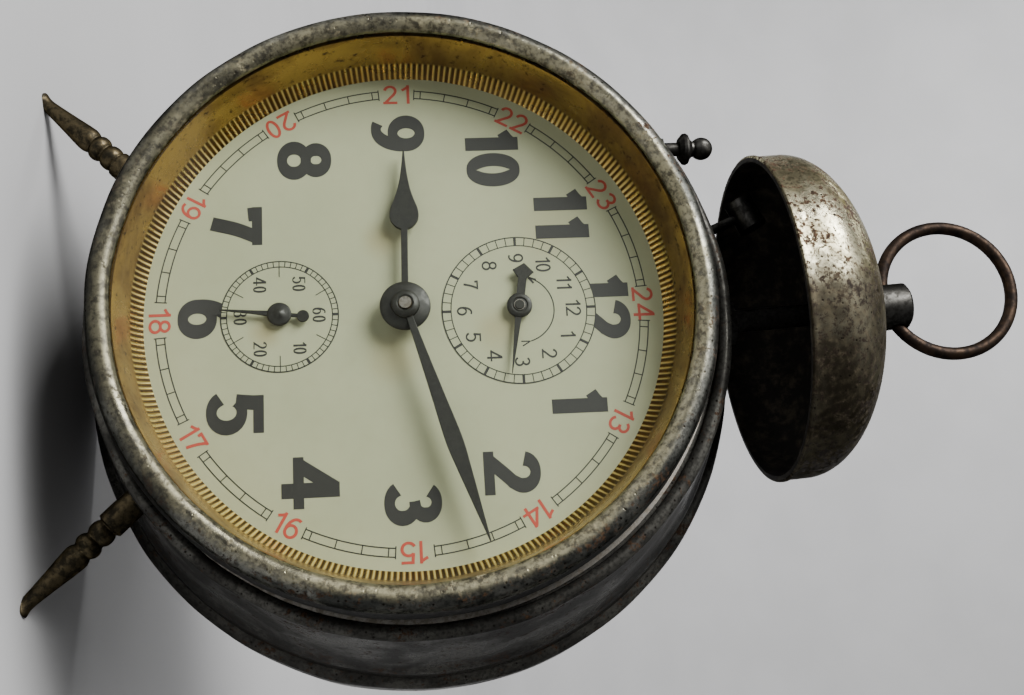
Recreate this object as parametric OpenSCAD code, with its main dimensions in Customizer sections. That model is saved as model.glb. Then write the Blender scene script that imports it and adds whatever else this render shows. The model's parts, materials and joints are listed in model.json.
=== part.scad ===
// Wind-up alarm clock with one bell on a post: a drum case, a gilt ring round the
// dial, seconds and alarm subdials, two turned feet and a carrying ring.
// The clock is drawn in its own frame: the hand arbor is the Y axis, the dial's
// printed face is y = 0, the front is -Y, twelve o'clock is +Z and three o'clock
// is +X. stand() leans it back onto its two feet and its rear rim.

/* [Case] */
// Outer radius of the front bezel
bezel_r = 49.8; // [49.6:0.1:50.2]
// Radius of the opening that shows the dial
bezel_open_r = 45.3; // [45:0.1:45.5]
// Radius of the drum just behind its front bead
drum_r = 52.4; // [52.2:0.1:52.8]
// Radius of the rear flange, the widest part
rear_r = 58.2; // [57.9:0.1:59]
// Depth from the dial face to the rear edge of the drum
drum_back = 40; // [39.8:0.1:41]
// Thickness of the sheet the case is pressed from
sheet = 0.8; // [0.7:0.05:0.9]
// Height of the case's axis above the hand arbor
case_rise = 0.9; // [0.6:0.1:1.1]
// Angle that the clock leans back when it stands
lean_back = 6.5; // [6.3:0.1:6.8]

/* [Dial] */
// Radius of the dial that shows inside the gilt ring
dial_r = 42.1; // [41.8:0.1:42.4]
// Distance of the seconds subdial below the hand arbor
seconds_drop = 20.2; // [20:0.1:20.6]
// Distance of the alarm subdial above the hand arbor
alarm_rise = 18.6; // [18.4:0.1:18.8]

/* [Hands] */
// Clockwise angle of the hour hand from twelve o'clock
hour_angle = 271.6; // [0:0.1:360]
// Clockwise angle of the minute hand from twelve o'clock
minute_angle = 73.4; // [0:0.1:360]
// Clockwise angle of the seconds hand from twelve o'clock
seconds_angle = 186.6; // [0:0.1:360]
// Clockwise angle of the alarm hand from twelve o'clock
alarm_angle = 99.4; // [0:0.1:360]

/* [Bell] */
// Depth of the bell post behind the dial face
post_y = 13; // [12.5:0.1:13.5]
// Lean of the bell post towards nine o'clock
bell_lean = 3.3; // [3:0.1:4]
// Radius of the bell's mouth
bell_r = 28.5; // [28.2:0.1:29]
// Height of the bell's mouth above the post's foot
bell_gap = 9; // [8.8:0.1:9.5]
// Height of the bell from its mouth to its crown
bell_h = 19.4; // [19:0.1:20]
// Thickness of the bell's wall
bell_wall = 1; // [0.9:0.1:1.1]
// Radius of the carrying ring, to the middle of its wire
ring_mean_r = 11.9; // [11.5:0.05:12.2]
// Diameter of the carrying ring's wire
ring_wire = 2.3; // [2.1:0.1:2.4]

/* [Feet] */
// Depth of the feet behind the dial face
foot_y = 8; // [7.5:0.1:8.5]
// Angle of each foot's root from six o'clock, about the hand arbor
foot_root_angle = 32.4; // [32:0.1:33]
// Angle of each foot's axis from the vertical
foot_splay = 43; // [42.5:0.1:43.5]

/* [Hidden] */
$fn = 96;

// Running clearance between an arbor and its hole, and a tight but free fit
slack = 0.05;
snug = 0.02;

// Standing pose: the rounded rear edge and the two soles share the floor
rear_round = 2;
floor_z = -(drum_back - rear_round) * sin(lean_back)
    - (rear_r - rear_round - case_rise) * cos(lean_back) - rear_round;
stand_back = -20.73;
module stand() translate([0, stand_back, -floor_z]) rotate([-lean_back, 0, 0]) children();
module unstand() rotate([lean_back, 0, 0]) translate([0, -stand_back, floor_z]) children();

// Depths of the case's and the movement's layers, front to back
glass_y = -9.9;
glass_t = 0.9;
paper_t = 0.2;
dial_back = 1;
motion_y = 2.4;
minute_wheel_y = 5.2;
front_plate_y = 7.4;
plate_t = 1.5;
centre_wheel_y = 10.5;
strike_y = 12.5;
third_wheel_y = 13.5;
fourth_wheel_y = 16;
lever_y = 19.2;
great_wheel_y = 21;
mainspring_y = 23.4;
balance_y = 24;
back_plate_y = 29;
plate_end = back_plate_y + plate_t;
cover_y = 37.6;
knob_y = 42;

// Plates, pillars and feet of the dial
plate_r = 45;
pillar_ring = 41;
pillar_angles = [40, 140, 220, 310];
pillar_r = 2.2;
pillar_neck = 1.6;
dial_foot_ring = 42.5;
dial_foot_angles = [90, 200, 325];
dial_foot_r = 1;

// Wheel modules; the teeth counts stand with each wheel
m_hour = alarm_rise / 40;
minute_gap = 25 * m_hour;
m_minute = minute_gap / 24;
m_train = 0.42;
m_escape = 0.3;
m_great = 0.6;

// A point at distance ra from a and rb from b, on the left of a-to-b when side is 1
function meet(a, b, ra, rb, side) = let(
    d = norm(b - a), u = (b - a) / d, k = (d * d + ra * ra - rb * rb) / (2 * d),
    h = sqrt(ra * ra - k * k)) a + u * k + [-u[1], u[0]] * h * side;
// A point at a distance from p, at a clockwise angle from twelve o'clock
function clock_point(p, r, angle) = p + r * [sin(angle), cos(angle)];
// Clockwise angle from twelve o'clock of the direction from a to b
function bearing(a, b) = atan2(b[0] - a[0], b[1] - a[1]);

// Arbor positions seen from the front, as [x, z]
centre = [0, 0];
fourth = [0, -seconds_drop];
alarm_hand_at = [0, alarm_rise];
minute_at = [minute_gap, 0];
third = meet(centre, fourth, 36 * m_train, 34 * m_train, -1);
escape = clock_point(fourth, 34 * m_escape, 233);
pallet = clock_point(escape, 7, 238);
balance = clock_point(pallet, 8.4, 229);
time_at = clock_point(centre, 36 * m_great, 115);
alarm_at = [-22, 6];
strike = clock_point(alarm_at, 29 * m_great, 30);
hammer_at = [-8, 33];

// ---------- Shared shapes ----------

// Moves its children to an arbor position
module at(p) translate([p[0], 0, p[1]]) children();
// Moves its children to the case's own axis
module case_axis() translate([0, 0, case_rise]) children();
// A cylinder along Y from y0 to y1
module rod(r, y0, y1) translate([0, y0, 0]) rotate([-90, 0, 0]) cylinder(r = r, h = y1 - y0);
// A flat shape drawn in X and Z, from y0 back by t
module flat(y0, t) translate([0, y0 + t, 0]) rotate([90, 0, 0]) linear_extrude(t) children();
// An outline of [radius, depth] points turned about the Y axis
module turned(points) rotate([-90, 0, 0]) rotate_extrude() polygon(points);
// Points along an arc, from angle a0 to a1
function arc(c, r, a0, a1, n) = [for (i = [0 : n]) let(a = a0 + (a1 - a0) * i / n)
    c + r * [cos(a), sin(a)]];

// Outline of a wheel with short tapered teeth, one of them at the bearing turn
module teeth(n, m, turn) polygon([for (i = [0 : n - 1],
    c = [[-1.1, -0.2], [0.75, -0.07], [0.75, 0.07], [-1.1, 0.2]])
    let(a = turn + (i + c[1]) * 360 / n, q = n * m / 2 + c[0] * m) [q * sin(a), q * cos(a)]]);
// A solid toothed wheel or pinion
module pinion(n, m, y0, y1, turn) flat(y0, y1 - y0) teeth(n, m, turn);
// A wheel with a toothed rim and five crossings
module wheel(n, m, y0, t, turn) {
    r = n * m / 2;
    flat(y0, t) {
        difference() {
            teeth(n, m, turn);
            circle(r * 0.8);
        }
        circle(r * 0.3);
        for (i = [0 : 4]) rotate(i * 72 + 20) translate([-r * 0.05, r * 0.1]) square([r * 0.1, r * 0.75]);
    }
}
// Bearings that put a tooth, or a gap, of a wheel of n teeth at a on the line to b
function tooth_to(a, b) = bearing(a, b);
function gap_to(a, b, n) = bearing(a, b) + 180 / n;
// An arbor between the plates, with a thinner pivot in each plate
module arbor(r, pivot) {
    rod(r, front_plate_y + plate_t + 0.3, back_plate_y - 0.3);
    rod(pivot, front_plate_y, plate_end);
}
// A hexagon nut along Z
module nut(r, h, hole) difference() {
    cylinder(r = r, h = h, $fn = 6);
    translate([0, 0, -1]) cylinder(r = hole, h = h + 2);
}
// Unit vector to the left of the way from a to b
function left_of(a, b) = [a[1] - b[1], b[0] - a[0]] / norm(b - a);
// Outline of a flat spiral strip, wound clockwise outwards to angle a1. With a tail,
// the strip goes on straight to that point.
module spiral(r0, r1, turns, strip, a1, tail = undef) {
    n = turns * 20;
    function p(i, off) = let(a = a1 + turns * 360 * (1 - i / n), r = r0 + (r1 - r0) * i / n + off)
        [r * cos(a), r * sin(a)];
    side = is_undef(tail) ? [0, 0] : left_of(r1 * [cos(a1), sin(a1)], tail) * strip / 2;
    polygon(concat([for (i = [0 : n]) p(i, strip / 2)],
        is_undef(tail) ? [] : [tail + side, tail - side],
        [for (i = [n : -1 : 0]) p(i, -strip / 2)]));
}
// A straight flat strip between two points
module strip(a, b, w) translate(a) rotate(-bearing(a, b)) translate([-w / 2, 0]) square([w, norm(b - a)]);

// ---------- Case ----------

bead_c = [drum_r - 0.9, 0.4];
bead_round = 1.2;
wall_r = 54.8;
wall_y = 22;
step_r = 56;
step_y = [25, 27.5];
flange_y = 31.5;
lip_r = 47;
// Outer outline of the drum, front to back
drum_outline = concat(arc(bead_c, bead_round, -180, 30, 12), [[drum_r, 3], [wall_r, wall_y],
    [step_r, step_y[0]], [step_r, step_y[1]]],
    arc([rear_r - rear_round, flange_y], rear_round, -90, 0, 5),
    arc([rear_r - rear_round, drum_back - rear_round], rear_round, 0, 90, 8));
// Inner outline of the drum, back to front, ending at the lip behind the dial
drum_inner = concat(
    arc([rear_r - rear_round, drum_back - rear_round], rear_round - sheet, 90, 0, 8),
    arc([rear_r - rear_round, flange_y], rear_round - sheet, 0, -90, 5),
    [[step_r - sheet, step_y[1] + 0.6], [step_r - sheet, step_y[0]], [wall_r - sheet, wall_y],
    [drum_r - sheet, dial_back + sheet], [lip_r, dial_back + sheet], [lip_r, dial_back],
    [bead_c[0] - bead_round, dial_back]]);
// The drum as a solid, to shape what sits against its outside
module drum_outside() case_axis() turned(concat([[0, 0]], [for (p = drum_outline) p + [snug, 0]],
    [[0, drum_back]]));
// The space inside the drum, to shape what sits against its inside
module drum_inside() case_axis() turned([[0, 3], [drum_r - sheet - snug, 3],
    [wall_r - sheet - snug, wall_y], [0, wall_y]]);

// Frame of a foot: its axis is +Z, outwards from the root at the drum
foot_root = 53.3;
foot_stud = 1.5;
module foot_frame(side)
    translate([side * foot_root * sin(foot_root_angle), foot_y, -foot_root * cos(foot_root_angle)])
        rotate([0, side * (180 - foot_splay), 0]) children();
// Frame of the bell group: its axis is +Z, up the leaning post
post_foot = 53;
module bell_frame() translate([0, post_y, post_foot]) rotate([0, -bell_lean, 0]) children();
post_r = 2;
// The stop button's axis and the hammer's slot
button_at = [-30.4, 6];
button_pin = 1.2;
slot_x = [-20, -13];

module case_drum() color("silver") difference() {
    case_axis() turned(concat(drum_outline, drum_inner));
    for (side = [-1, 1]) foot_frame(side)
        translate([0, 0, -6]) cylinder(r = foot_stud + slack, h = 8);
    bell_frame() translate([0, 0, -6]) cylinder(r = post_r + slack, h = 12);
    translate([button_at[0], button_at[1], 38]) cylinder(r = bush_r + snug, h = 12);
    translate([slot_x[0], post_y - 2, 44]) cube([slot_x[1] - slot_x[0], 4, 12]);
}

bezel_lip = 1.4;
module front_bezel() color("gainsboro") case_axis() turned([
    [bezel_open_r, glass_y], [bezel_open_r, glass_y - 0.4], [bezel_open_r + 0.4, glass_y - 1.1],
    [bezel_open_r + 1.2, glass_y - bezel_lip - 0.3], [bezel_open_r + 2, glass_y - bezel_lip - 0.3],
    [bezel_r - 1.6, glass_y - 1.5], [bezel_r - 1, glass_y - 0.9], [bezel_r - 0.5, glass_y + 0.4],
    [bezel_r - 0.2, glass_y + 2.4], [bezel_r, glass_y + 4.4], [bezel_r, -3.9], [bezel_r - 0.7, -3.2], [bezel_r - 0.7, paper_t], [bezel_r - 1.4, paper_t],
    [bezel_r - 1.4, -3.7], [bezel_r - 0.7, -4.3], [bezel_r - 0.7, glass_y + 1.6],
    [bezel_r - 1.1, glass_y + 0.6], [bezel_r - 1.9, glass_y - 0.3],
    [bezel_open_r + 2, glass_y - 1], [bezel_open_r + 1.4, glass_y - 0.9],
    [bezel_open_r + 0.9, glass_y]]);

glass_r = 47.8;
module dial_glass() color("lightcyan", 0.3) case_axis() rod(glass_r, glass_y, glass_y + glass_t);

// The gilt ring's reeded band, then its smooth cone up to the glass
reed_r = 43.8;
reed_y = -2.4;
ring_sheet = 0.5;
glass_back = glass_y + glass_t;
module gilt_ring() color("goldenrod") case_axis() turned([
    [dial_r, 0], [reed_r, reed_y], [bezel_open_r, glass_back], [bezel_r - 2.6, glass_back],
    [bezel_r - 2.6, glass_back + ring_sheet], [bezel_open_r + ring_sheet, glass_back + ring_sheet],
    [reed_r + ring_sheet, reed_y], [dial_r + ring_sheet, 0]]);

// Holes through the dial for the hour pipe and the two small arbors
module dial_holes() {
    rod(2.9, -1, 3);
    at(fourth) rod(1, -1, 3);
    at(alarm_hand_at) rod(1.5, -1, 3);
}
module dial_foot_places() for (a = dial_foot_angles)
    rotate([0, -a, 0]) translate([dial_foot_ring, 0, 0]) children();
module dial_plate() color("darkgray") difference() {
    union() {
        case_axis() rod(bead_c[0] - bead_round - 0.2, paper_t, dial_back);
        dial_foot_places() rod(dial_foot_r, paper_t, front_plate_y + plate_t + 2.2);
    }
    dial_holes();
    dial_foot_places() dial_pin(snug);
}
module dial_paper() color("beige") difference() {
    case_axis() rod(dial_r + 0.9, 0, paper_t);
    dial_holes();
}
// A pin across a dial foot, behind the front plate
dial_pin_r = 0.4;
module dial_pin(grow = 0) translate([0, front_plate_y + plate_t + dial_pin_r + 0.2, -2.5 - grow])
    cylinder(r = dial_pin_r + grow, h = 5 + 2 * grow);
module dial_pins() color("silver") dial_foot_places() dial_pin();

cover_t = 0.8;
key_hole = 4;
knob_hole = 3;
cover_r = rear_r - sheet - 0.2;
screw_r = 0.95;
regulator_reach = 11.5;
regulator_bearing = 35;
module pillar_places() for (a = pillar_angles) rotate([0, -a, 0]) translate([pillar_ring, 0, 0]) children();
module back_cover() color("silver") difference() {
    case_axis() rod(cover_r, cover_y, cover_y + cover_t);
    for (p = [time_at, alarm_at]) at(p) rod(key_hole, cover_y - 1, cover_y + 2);
    for (p = [centre, alarm_hand_at]) at(p) rod(knob_hole, cover_y - 1, cover_y + 2);
    pillar_places() rod(screw_r + 0.2, cover_y - 1, cover_y + 2);
    at(balance) flat(cover_y - 1, 3) intersection() {
        difference() {
            circle(regulator_reach + 1.3);
            circle(regulator_reach - 1.3);
        }
        polygon([[0, 0], for (a = [-27, 0, 27]) 20 * [sin(regulator_bearing + a), cos(regulator_bearing + a)]]);
    }
}
module back_cover_screws() color("slategray") pillar_places() difference() {
    union() {
        rod(screw_r, cover_y - 4, cover_y + cover_t + 0.5);
        rod(2.6, cover_y + cover_t, cover_y + cover_t + 1.1);
    }
    translate([-3, cover_y + cover_t + 0.7, -0.3]) cube([6, 1, 0.6]);
}

// ---------- Feet ----------

// Outline of a foot, root to tip, as [radius, distance from the root]
sole_end = 22.6;
foot_outline = [[0, -3], [2.3, -3], [2.3, 3.9], [1.8, 4.4], [2.1, 5.1], [2.15, 5.8], [2.05, 6.4],
    [1.75, 7], [2.1, 7.7], [2.2, 8.3], [2.1, 9], [1.75, 9.7], [2.05, 10.4], [2.1, 11.4], [1.95, 13.2],
    [1.65, 15.6], [1.4, 18], [1.2, 20.4], [1.3, 21.4], [1.5, 22.3], [1.5, sole_end], [0, sole_end]];
module foot(side) color("darkolivegreen") difference() {
    union() {
        difference() {
            foot_frame(side) rotate_extrude() polygon(foot_outline);
            drum_outside();
        }
        foot_frame(side) translate([0, 0, -6.2]) cylinder(r = foot_stud, h = 8);
    }
    unstand() translate([-80, -80, -20]) cube([160, 160, 20]);
}
module foot_left() foot(-1);
module foot_right() foot(1);
module foot_nuts() color("slategray") for (side = [-1, 1]) intersection() {
    foot_frame(side) translate([0, 0, -5.2]) nut(3.4, 4.5, foot_stud + snug);
    drum_inside();
}

// ---------- Bell ----------

bell_top = bell_gap + bell_h;
collar_r = 4.1;
collar_top = bell_top + 7.75;
// Half outline of a bell: a short straight skirt below an elliptical dome
function dome(r, skirt, h, n) = concat([[r, 0]], arc([0, 0], 1, 0, 90, n)
    * [[r, 0], [0, h - skirt]] + [for (i = [0 : n]) [0, skirt]]);
bell_skirt = 5;
module bell_post() color("dimgray") {
    bell_frame() {
        translate([0, 0, -5.4]) cylinder(r = post_r, h = bell_top + 5.4 - bell_wall);
        cylinder(r = 1.5, h = bell_top + 0.7);
        translate([0, 0, bell_top - bell_wall - 3.5]) cylinder(r = 3.2, h = 3.2);
    }
    difference() {
        bell_frame() cylinder(r = 4.4, h = 4);
        drum_outside();
    }
}
module bell_post_nut() color("slategray") intersection() {
    bell_frame() translate([0, 0, -4.2]) nut(4, 8, post_r + snug);
    drum_inside();
}
module bell() color("silver") bell_frame() translate([0, 0, bell_gap]) difference() {
    union() {
        rotate_extrude() polygon(concat([[0, 0]], dome(bell_r, bell_skirt, bell_h, 24)));
        translate([0, 0, 0]) cylinder(r = bell_r + 0.25, h = 0.9);
    }
    translate([0, 0, -0.001]) rotate_extrude()
        polygon(concat([[0, 0]], dome(bell_r - bell_wall, bell_skirt, bell_h - bell_wall, 24)));
    cylinder(r = 1.5 + snug, h = bell_h + 1);
}
// Carrying ring: its wire runs through a cross hole in the collar
ring_side = -2.2;
ring_up = 44.15;
ring_dip = sqrt(ring_mean_r * ring_mean_r - ring_side * ring_side);
ring_tilt = atan2(-ring_side, ring_dip);
ring_hole = ring_wire / 2 + 0.6;
ring_sag = 0.36;
module bell_collar() color("dimgray") bell_frame() difference() {
    rotate_extrude() polygon([[0, bell_top], [collar_r - 0.3, bell_top], [collar_r, bell_top + 0.4],
        [collar_r, collar_top - 0.5], [collar_r - 0.6, collar_top], [0, collar_top]]);
    translate([0, 0, bell_top - 1]) cylinder(r = 1.5 + snug, h = 1.8);
    translate([0, 0, ring_up - ring_dip + ring_sag]) rotate([0, 90 - ring_tilt, 0])
        cylinder(r = ring_hole, h = 20, center = true);
}
module carrying_ring() color("saddlebrown") bell_frame() translate([ring_side, 0, ring_up])
    rotate([90, 0, 0]) rotate_extrude() translate([ring_mean_r, 0]) circle(ring_wire / 2);

// ---------- Stop button ----------

bush_r = 2;
module stop_button() color("gray") translate([button_at[0], button_at[1], 0]) {
    translate([0, 0, 40]) cylinder(r = button_pin, h = 10);
    rotate_extrude() polygon([[0, 49.2], [1.9, 49.3], [2.7, 50], [2.8, 50.5], [2.6, 50.9], [1.9, 51.2],
        [1.45, 51.6], [1.3, 52.2], [1.3, 53], [0, 53]]);
    translate([0, 0, 53.4]) sphere(2);
}
module stop_button_bush() color("dimgray") difference() {
    translate([button_at[0], button_at[1], 40.5]) cylinder(r = bush_r, h = 6);
    translate([button_at[0], button_at[1], 39]) cylinder(r = button_pin + slack, h = 9);
}

// ---------- Hands ----------

hour_pipe = 2.2;
cannon_pipe = 1.5;
centre_r = 1;
alarm_arbor_r = 0.9;
seconds_pivot = 0.5;
hand_seat = 2.3;
module hour_hand() color("black") flat(-hand_seat, 0.7) rotate(-hour_angle) difference() {
    union() {
        circle(3.5);
        translate([-0.55, 0]) square([1.1, 15]);
        polygon([[0.5, 13.8], [1.7, 14.3], [2.4, 15.8], [1.9, 18], [0.9, 22], [0, 27.9],
            [-0.9, 22], [-1.9, 18], [-2.4, 15.8], [-1.7, 14.3], [-0.5, 13.8]]);
    }
    circle(hour_pipe + snug);
}
module minute_hand() color("black") flat(-4, 0.6) rotate(-minute_angle) difference() {
    union() {
        circle(2.6);
        polygon([[0.55, 0], [0.55, 15], [1.2, 21.5], [1.35, 23.4], [0.9, 29], [0, 40.3],
            [-0.9, 29], [-1.35, 23.4], [-1.2, 21.5], [-0.55, 15], [-0.55, 0]]);
    }
    circle(cannon_pipe + snug);
}
module hand_washer() color("dimgray") turned([[cannon_pipe + snug, -3.35], [2.4, -3.35], [4.1, -2.9],
    [4.1, -2.65], [cannon_pipe + snug, -2.9]]);
module seconds_hand() color("black") at(fourth) flat(-1.2, 0.4) rotate(-seconds_angle) difference() {
    union() {
        circle(1.2);
        polygon([[0.35, -3], [0.35, 3], [0.12, 9.56], [-0.12, 9.56], [-0.35, 3], [-0.35, -3]]);
        translate([0, -3.8]) circle(1);
    }
    circle(seconds_pivot + snug);
}
module alarm_hand() color("black") at(alarm_hand_at) flat(-1.3, 0.4) rotate(-alarm_angle) difference() {
    union() {
        circle(2.1);
        polygon([[0.06, 11.6], [0.6, 1], [0.7, -1.5], [0.7, -4.8], [1.75, -6], [0, -7.4],
            [-1.75, -6], [-0.7, -4.8], [-0.7, -1.5], [-0.6, 1], [-0.06, 11.6]]);
    }
    circle(alarm_arbor_r + snug);
}

// ---------- Hand setting and motion work ----------

module centre_arbor() color("silver") rod(centre_r, -4.9, knob_y + 5.5);
module cannon_pinion() color("darkkhaki") difference() {
    union() {
        pinion(12, m_minute, 5, 6.8, 90);
        rod(cannon_pipe, -4.3, 5.5);
    }
    rod(centre_r + snug, -6, 8);
}
// A knurled setting knob with a short hub
module knob(r, hole) difference() {
    union() {
        rod(2.4, knob_y - 2, knob_y + 1);
        flat(knob_y, 4) teeth(24, r / 12.6, 0);
    }
    rod(hole, knob_y - 3, knob_y + 5);
}
module hand_set_knob() color("tan") knob(6, centre_r + snug);
module hour_wheel() color("goldenrod") difference() {
    union() {
        wheel(40, m_hour, motion_y, 1, 0);
        rod(3, motion_y, 4.6);
        rod(hour_pipe, -hand_seat, motion_y + 1);
    }
    rod(cannon_pipe + slack, -4, 6);
}
minute_post = 1;
module minute_wheel() color("goldenrod") at(minute_at) difference() {
    union() {
        wheel(36, m_minute, minute_wheel_y, 1, gap_to(minute_at, centre, 36));
        pinion(10, m_hour, motion_y - 0.4, minute_wheel_y + 0.3, gap_to(minute_at, centre, 10));
    }
    rod(minute_post + slack, 1, 8);
}

// ---------- Going train ----------

module centre_wheel() color("goldenrod") difference() {
    union() {
        wheel(64, m_train, centre_wheel_y, 1.2, tooth_to(centre, third));
        rod(1.6, front_plate_y + plate_t + 0.3, back_plate_y - 0.3);
        pinion(12, m_great, great_wheel_y - 0.4, great_wheel_y + 1.9, tooth_to(centre, time_at));
    }
    rod(centre_r + slack, 8, 30);
}
module third_wheel() color("goldenrod") at(third) {
    arbor(0.8, 0.6);
    pinion(8, m_train, centre_wheel_y - 0.3, centre_wheel_y + 1.5, gap_to(third, centre, 8));
    wheel(60, m_train, third_wheel_y, 1, tooth_to(third, fourth));
}
module fourth_wheel() color("goldenrod") at(fourth) {
    arbor(0.8, 0.6);
    rod(seconds_pivot, -1.4, front_plate_y + 1);
    pinion(8, m_train, third_wheel_y - 0.3, third_wheel_y + 1.3, gap_to(fourth, third, 8));
    wheel(60, m_escape, fourth_wheel_y, 1, tooth_to(fourth, escape));
}
escape_r = 5.5;
module escape_wheel() color("goldenrod") at(escape) {
    arbor(0.6, 0.5);
    pinion(8, m_escape, fourth_wheel_y - 0.2, fourth_wheel_y + 1.2, gap_to(escape, fourth, 8));
    flat(lever_y + 0.1, 0.6) {
        for (i = [0 : 14]) rotate(i * 24)
            polygon([[-0.5, escape_r - 1.3], [0.45, escape_r], [0.6, escape_r - 0.1], [0.5, escape_r - 1.3]]);
        difference() {
            circle(escape_r - 1.2);
            circle(escape_r - 2);
        }
        circle(1.4);
        for (i = [0 : 3]) rotate(i * 90) translate([-0.3, 0]) square([0.6, escape_r - 1.5]);
    }
}
// The lever's two pins stand just outside the escape wheel's tips
pallet_pin = 0.25;
pin_reach = escape_r + 0.7;
module pallet_lever() color("silver") {
    at(pallet) {
        arbor(0.6, 0.5);
        rod(1.3, lever_y - 0.6, lever_y + 1.6);
    }
    for (s = [-30, 30]) {
        pin_at = clock_point(escape, pin_reach, bearing(escape, pallet) + s);
        flat(lever_y + 1, 0.6) strip(pallet, pin_at, 0.8);
        at(pin_at) rod(pallet_pin, lever_y - 0.3, lever_y + 1.6);
        at(pin_at) rod(0.5, lever_y + 1, lever_y + 1.6);
    }
    flat(lever_y + 1, 0.6) difference() {
        strip(pallet, clock_point(balance, 1.6, bearing(balance, pallet)), 1.6);
        strip(clock_point(balance, 1, bearing(balance, pallet)),
            clock_point(balance, 2.6, bearing(balance, pallet)), 0.7);
    }
}
balance_r = 6.5;
module balance_wheel() color("goldenrod") at(balance) {
    arbor(0.6, 0.5);
    flat(balance_y, 1.3) {
        difference() {
            circle(balance_r);
            circle(balance_r - 1);
        }
        circle(1.4);
        for (i = [0 : 2]) rotate(i * 120) translate([-0.5, 0]) square([1, balance_r - 0.5]);
    }
    rod(1.5, lever_y + 2.4, lever_y + 3.2);
    at(clock_point([0, 0], 1, bearing(balance, pallet))) rod(0.22, lever_y + 0.8, lever_y + 2.8);
}
hairspring_r = 4.8;
module hairspring() color("steelblue") at(balance) {
    flat(balance_y + 2.4, 0.6) spiral(1.1, hairspring_r, 5, 0.25, 100);
    at([hairspring_r * cos(100), hairspring_r * sin(100)]) rod(0.5, balance_y + 2.2, back_plate_y);
}
regulator_boss = 1.6;
module regulator_lever() color("silver") at(balance) {
    difference() {
        flat(plate_end + 0.1, 0.8) {
            circle(3);
            rotate(-regulator_bearing) translate([-0.8, 0]) square([1.6, regulator_reach + 0.8]);
        }
        rod(regulator_boss + slack, plate_end - 1, plate_end + 2);
    }
    at(clock_point([0, 0], regulator_reach, regulator_bearing)) rod(0.8, plate_end + 0.5, cover_y + 3.4);
}

// ---------- Winding ----------

winding_r = 1.8;
ratchet_r = 5;
spring_w = 5.1;
square_w = 2.6;
time_key_turn = 25;
alarm_key_turn = -15;
// A mainspring wound round its arbor, its tail looped round a pillar
spring_strip = 0.5;
module mainspring(p, r1, pillar_angle) {
    post = pillar_ring * [cos(pillar_angle), sin(pillar_angle)];
    end = 90 - bearing(p, post) + acos(r1 / norm(post - p));
    flat(mainspring_y, spring_w) difference() {
        union() {
            translate(p) spiral(3.2, r1, 6, spring_strip, end, post - p);
            translate(post) circle(pillar_r + snug + spring_strip);
        }
        translate(post) circle(pillar_r + snug);
    }
}
// An outline of saw teeth, n of them
module saw(n, r, depth) polygon([for (i = [0 : n - 1], c = [[0, 0], [0.12, -depth]])
    let(a = (i + c[0]) * 360 / n) (r + c[1]) * [sin(a), cos(a)]]);
module great_wheel(p, n, turn) at(p) difference() {
    union() {
        pinion(n, m_great, great_wheel_y, great_wheel_y + 1.5, turn);
        rod(3.2, great_wheel_y, great_wheel_y + 2.2);
    }
    rod(winding_r + slack, great_wheel_y - 1, great_wheel_y + 3);
}
module click(p) at(p) {
    flat(great_wheel_y - 1.2, 1.2) polygon([[ratchet_r + 0.4, 0.2], [ratchet_r + 1, -0.8],
        [ratchet_r + 3, 3.4], [ratchet_r + 2.2, 5], [ratchet_r + 0.6, 4.6]]);
}
module winding_arbor(p, turn) at(p) {
    rod(winding_r, front_plate_y + plate_t + 0.3, knob_y);
    rod(1.2, front_plate_y, 10);
    rod(2.5, mainspring_y, mainspring_y + spring_w);
    flat(great_wheel_y - 1.6, 1.2) saw(16, ratchet_r, 0.9);
    rotate([0, turn, 0]) translate([-square_w / 2, knob_y - 1, -square_w / 2])
        cube([square_w, 6, square_w]);
}
// A winding key: a hub with a square socket and two rounded wings
module key(p, turn) at(p) rotate([0, turn, 0]) difference() {
    union() {
        rod(3, knob_y - 0.6, knob_y + 7);
        translate([0, 0, -0.8]) linear_extrude(1.6) {
            for (s = [-1, 1]) translate([s * 5, knob_y + 10.5]) circle(5.2);
            translate([-3, knob_y + 2]) square([6, 8]);
        }
    }
    translate([-square_w / 2 - slack, knob_y - 2, -square_w / 2 - slack])
        cube([square_w + 2 * slack, 7.5, square_w + 2 * slack]);
    rod(winding_r + snug, knob_y - 2, knob_y);
}
module time_mainspring() color("steelblue") mainspring(time_at, 14.5, 310);
module time_great_wheel() color("goldenrod") great_wheel(time_at, 60, gap_to(time_at, centre, 60));
module time_click() color("silver") click(time_at);
module time_winding_arbor() color("silver") winding_arbor(time_at, time_key_turn);
module time_key() color("tan") key(time_at, time_key_turn);
module alarm_mainspring() color("steelblue") mainspring(alarm_at, 12.5, 140);
module alarm_great_wheel() color("goldenrod") great_wheel(alarm_at, 50, tooth_to(alarm_at, strike));
module alarm_click() color("silver") click(alarm_at);
module alarm_winding_arbor() color("silver") winding_arbor(alarm_at, alarm_key_turn);
module alarm_key() color("tan") key(alarm_at, alarm_key_turn);

// ---------- Alarm ----------

strike_r = 7;
module alarm_strike_wheel() color("goldenrod") at(strike) {
    arbor(0.9, 0.6);
    pinion(8, m_great, great_wheel_y - 0.2, great_wheel_y + 1.7, gap_to(strike, alarm_at, 8));
    flat(strike_y - 0.5, 1) saw(14, strike_r, 1.4);
}
hammer_head_at = [-20.4, 62];
hammer_wire = 0.9;
head_r = 2.6;
head_l = 5.6;
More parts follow.
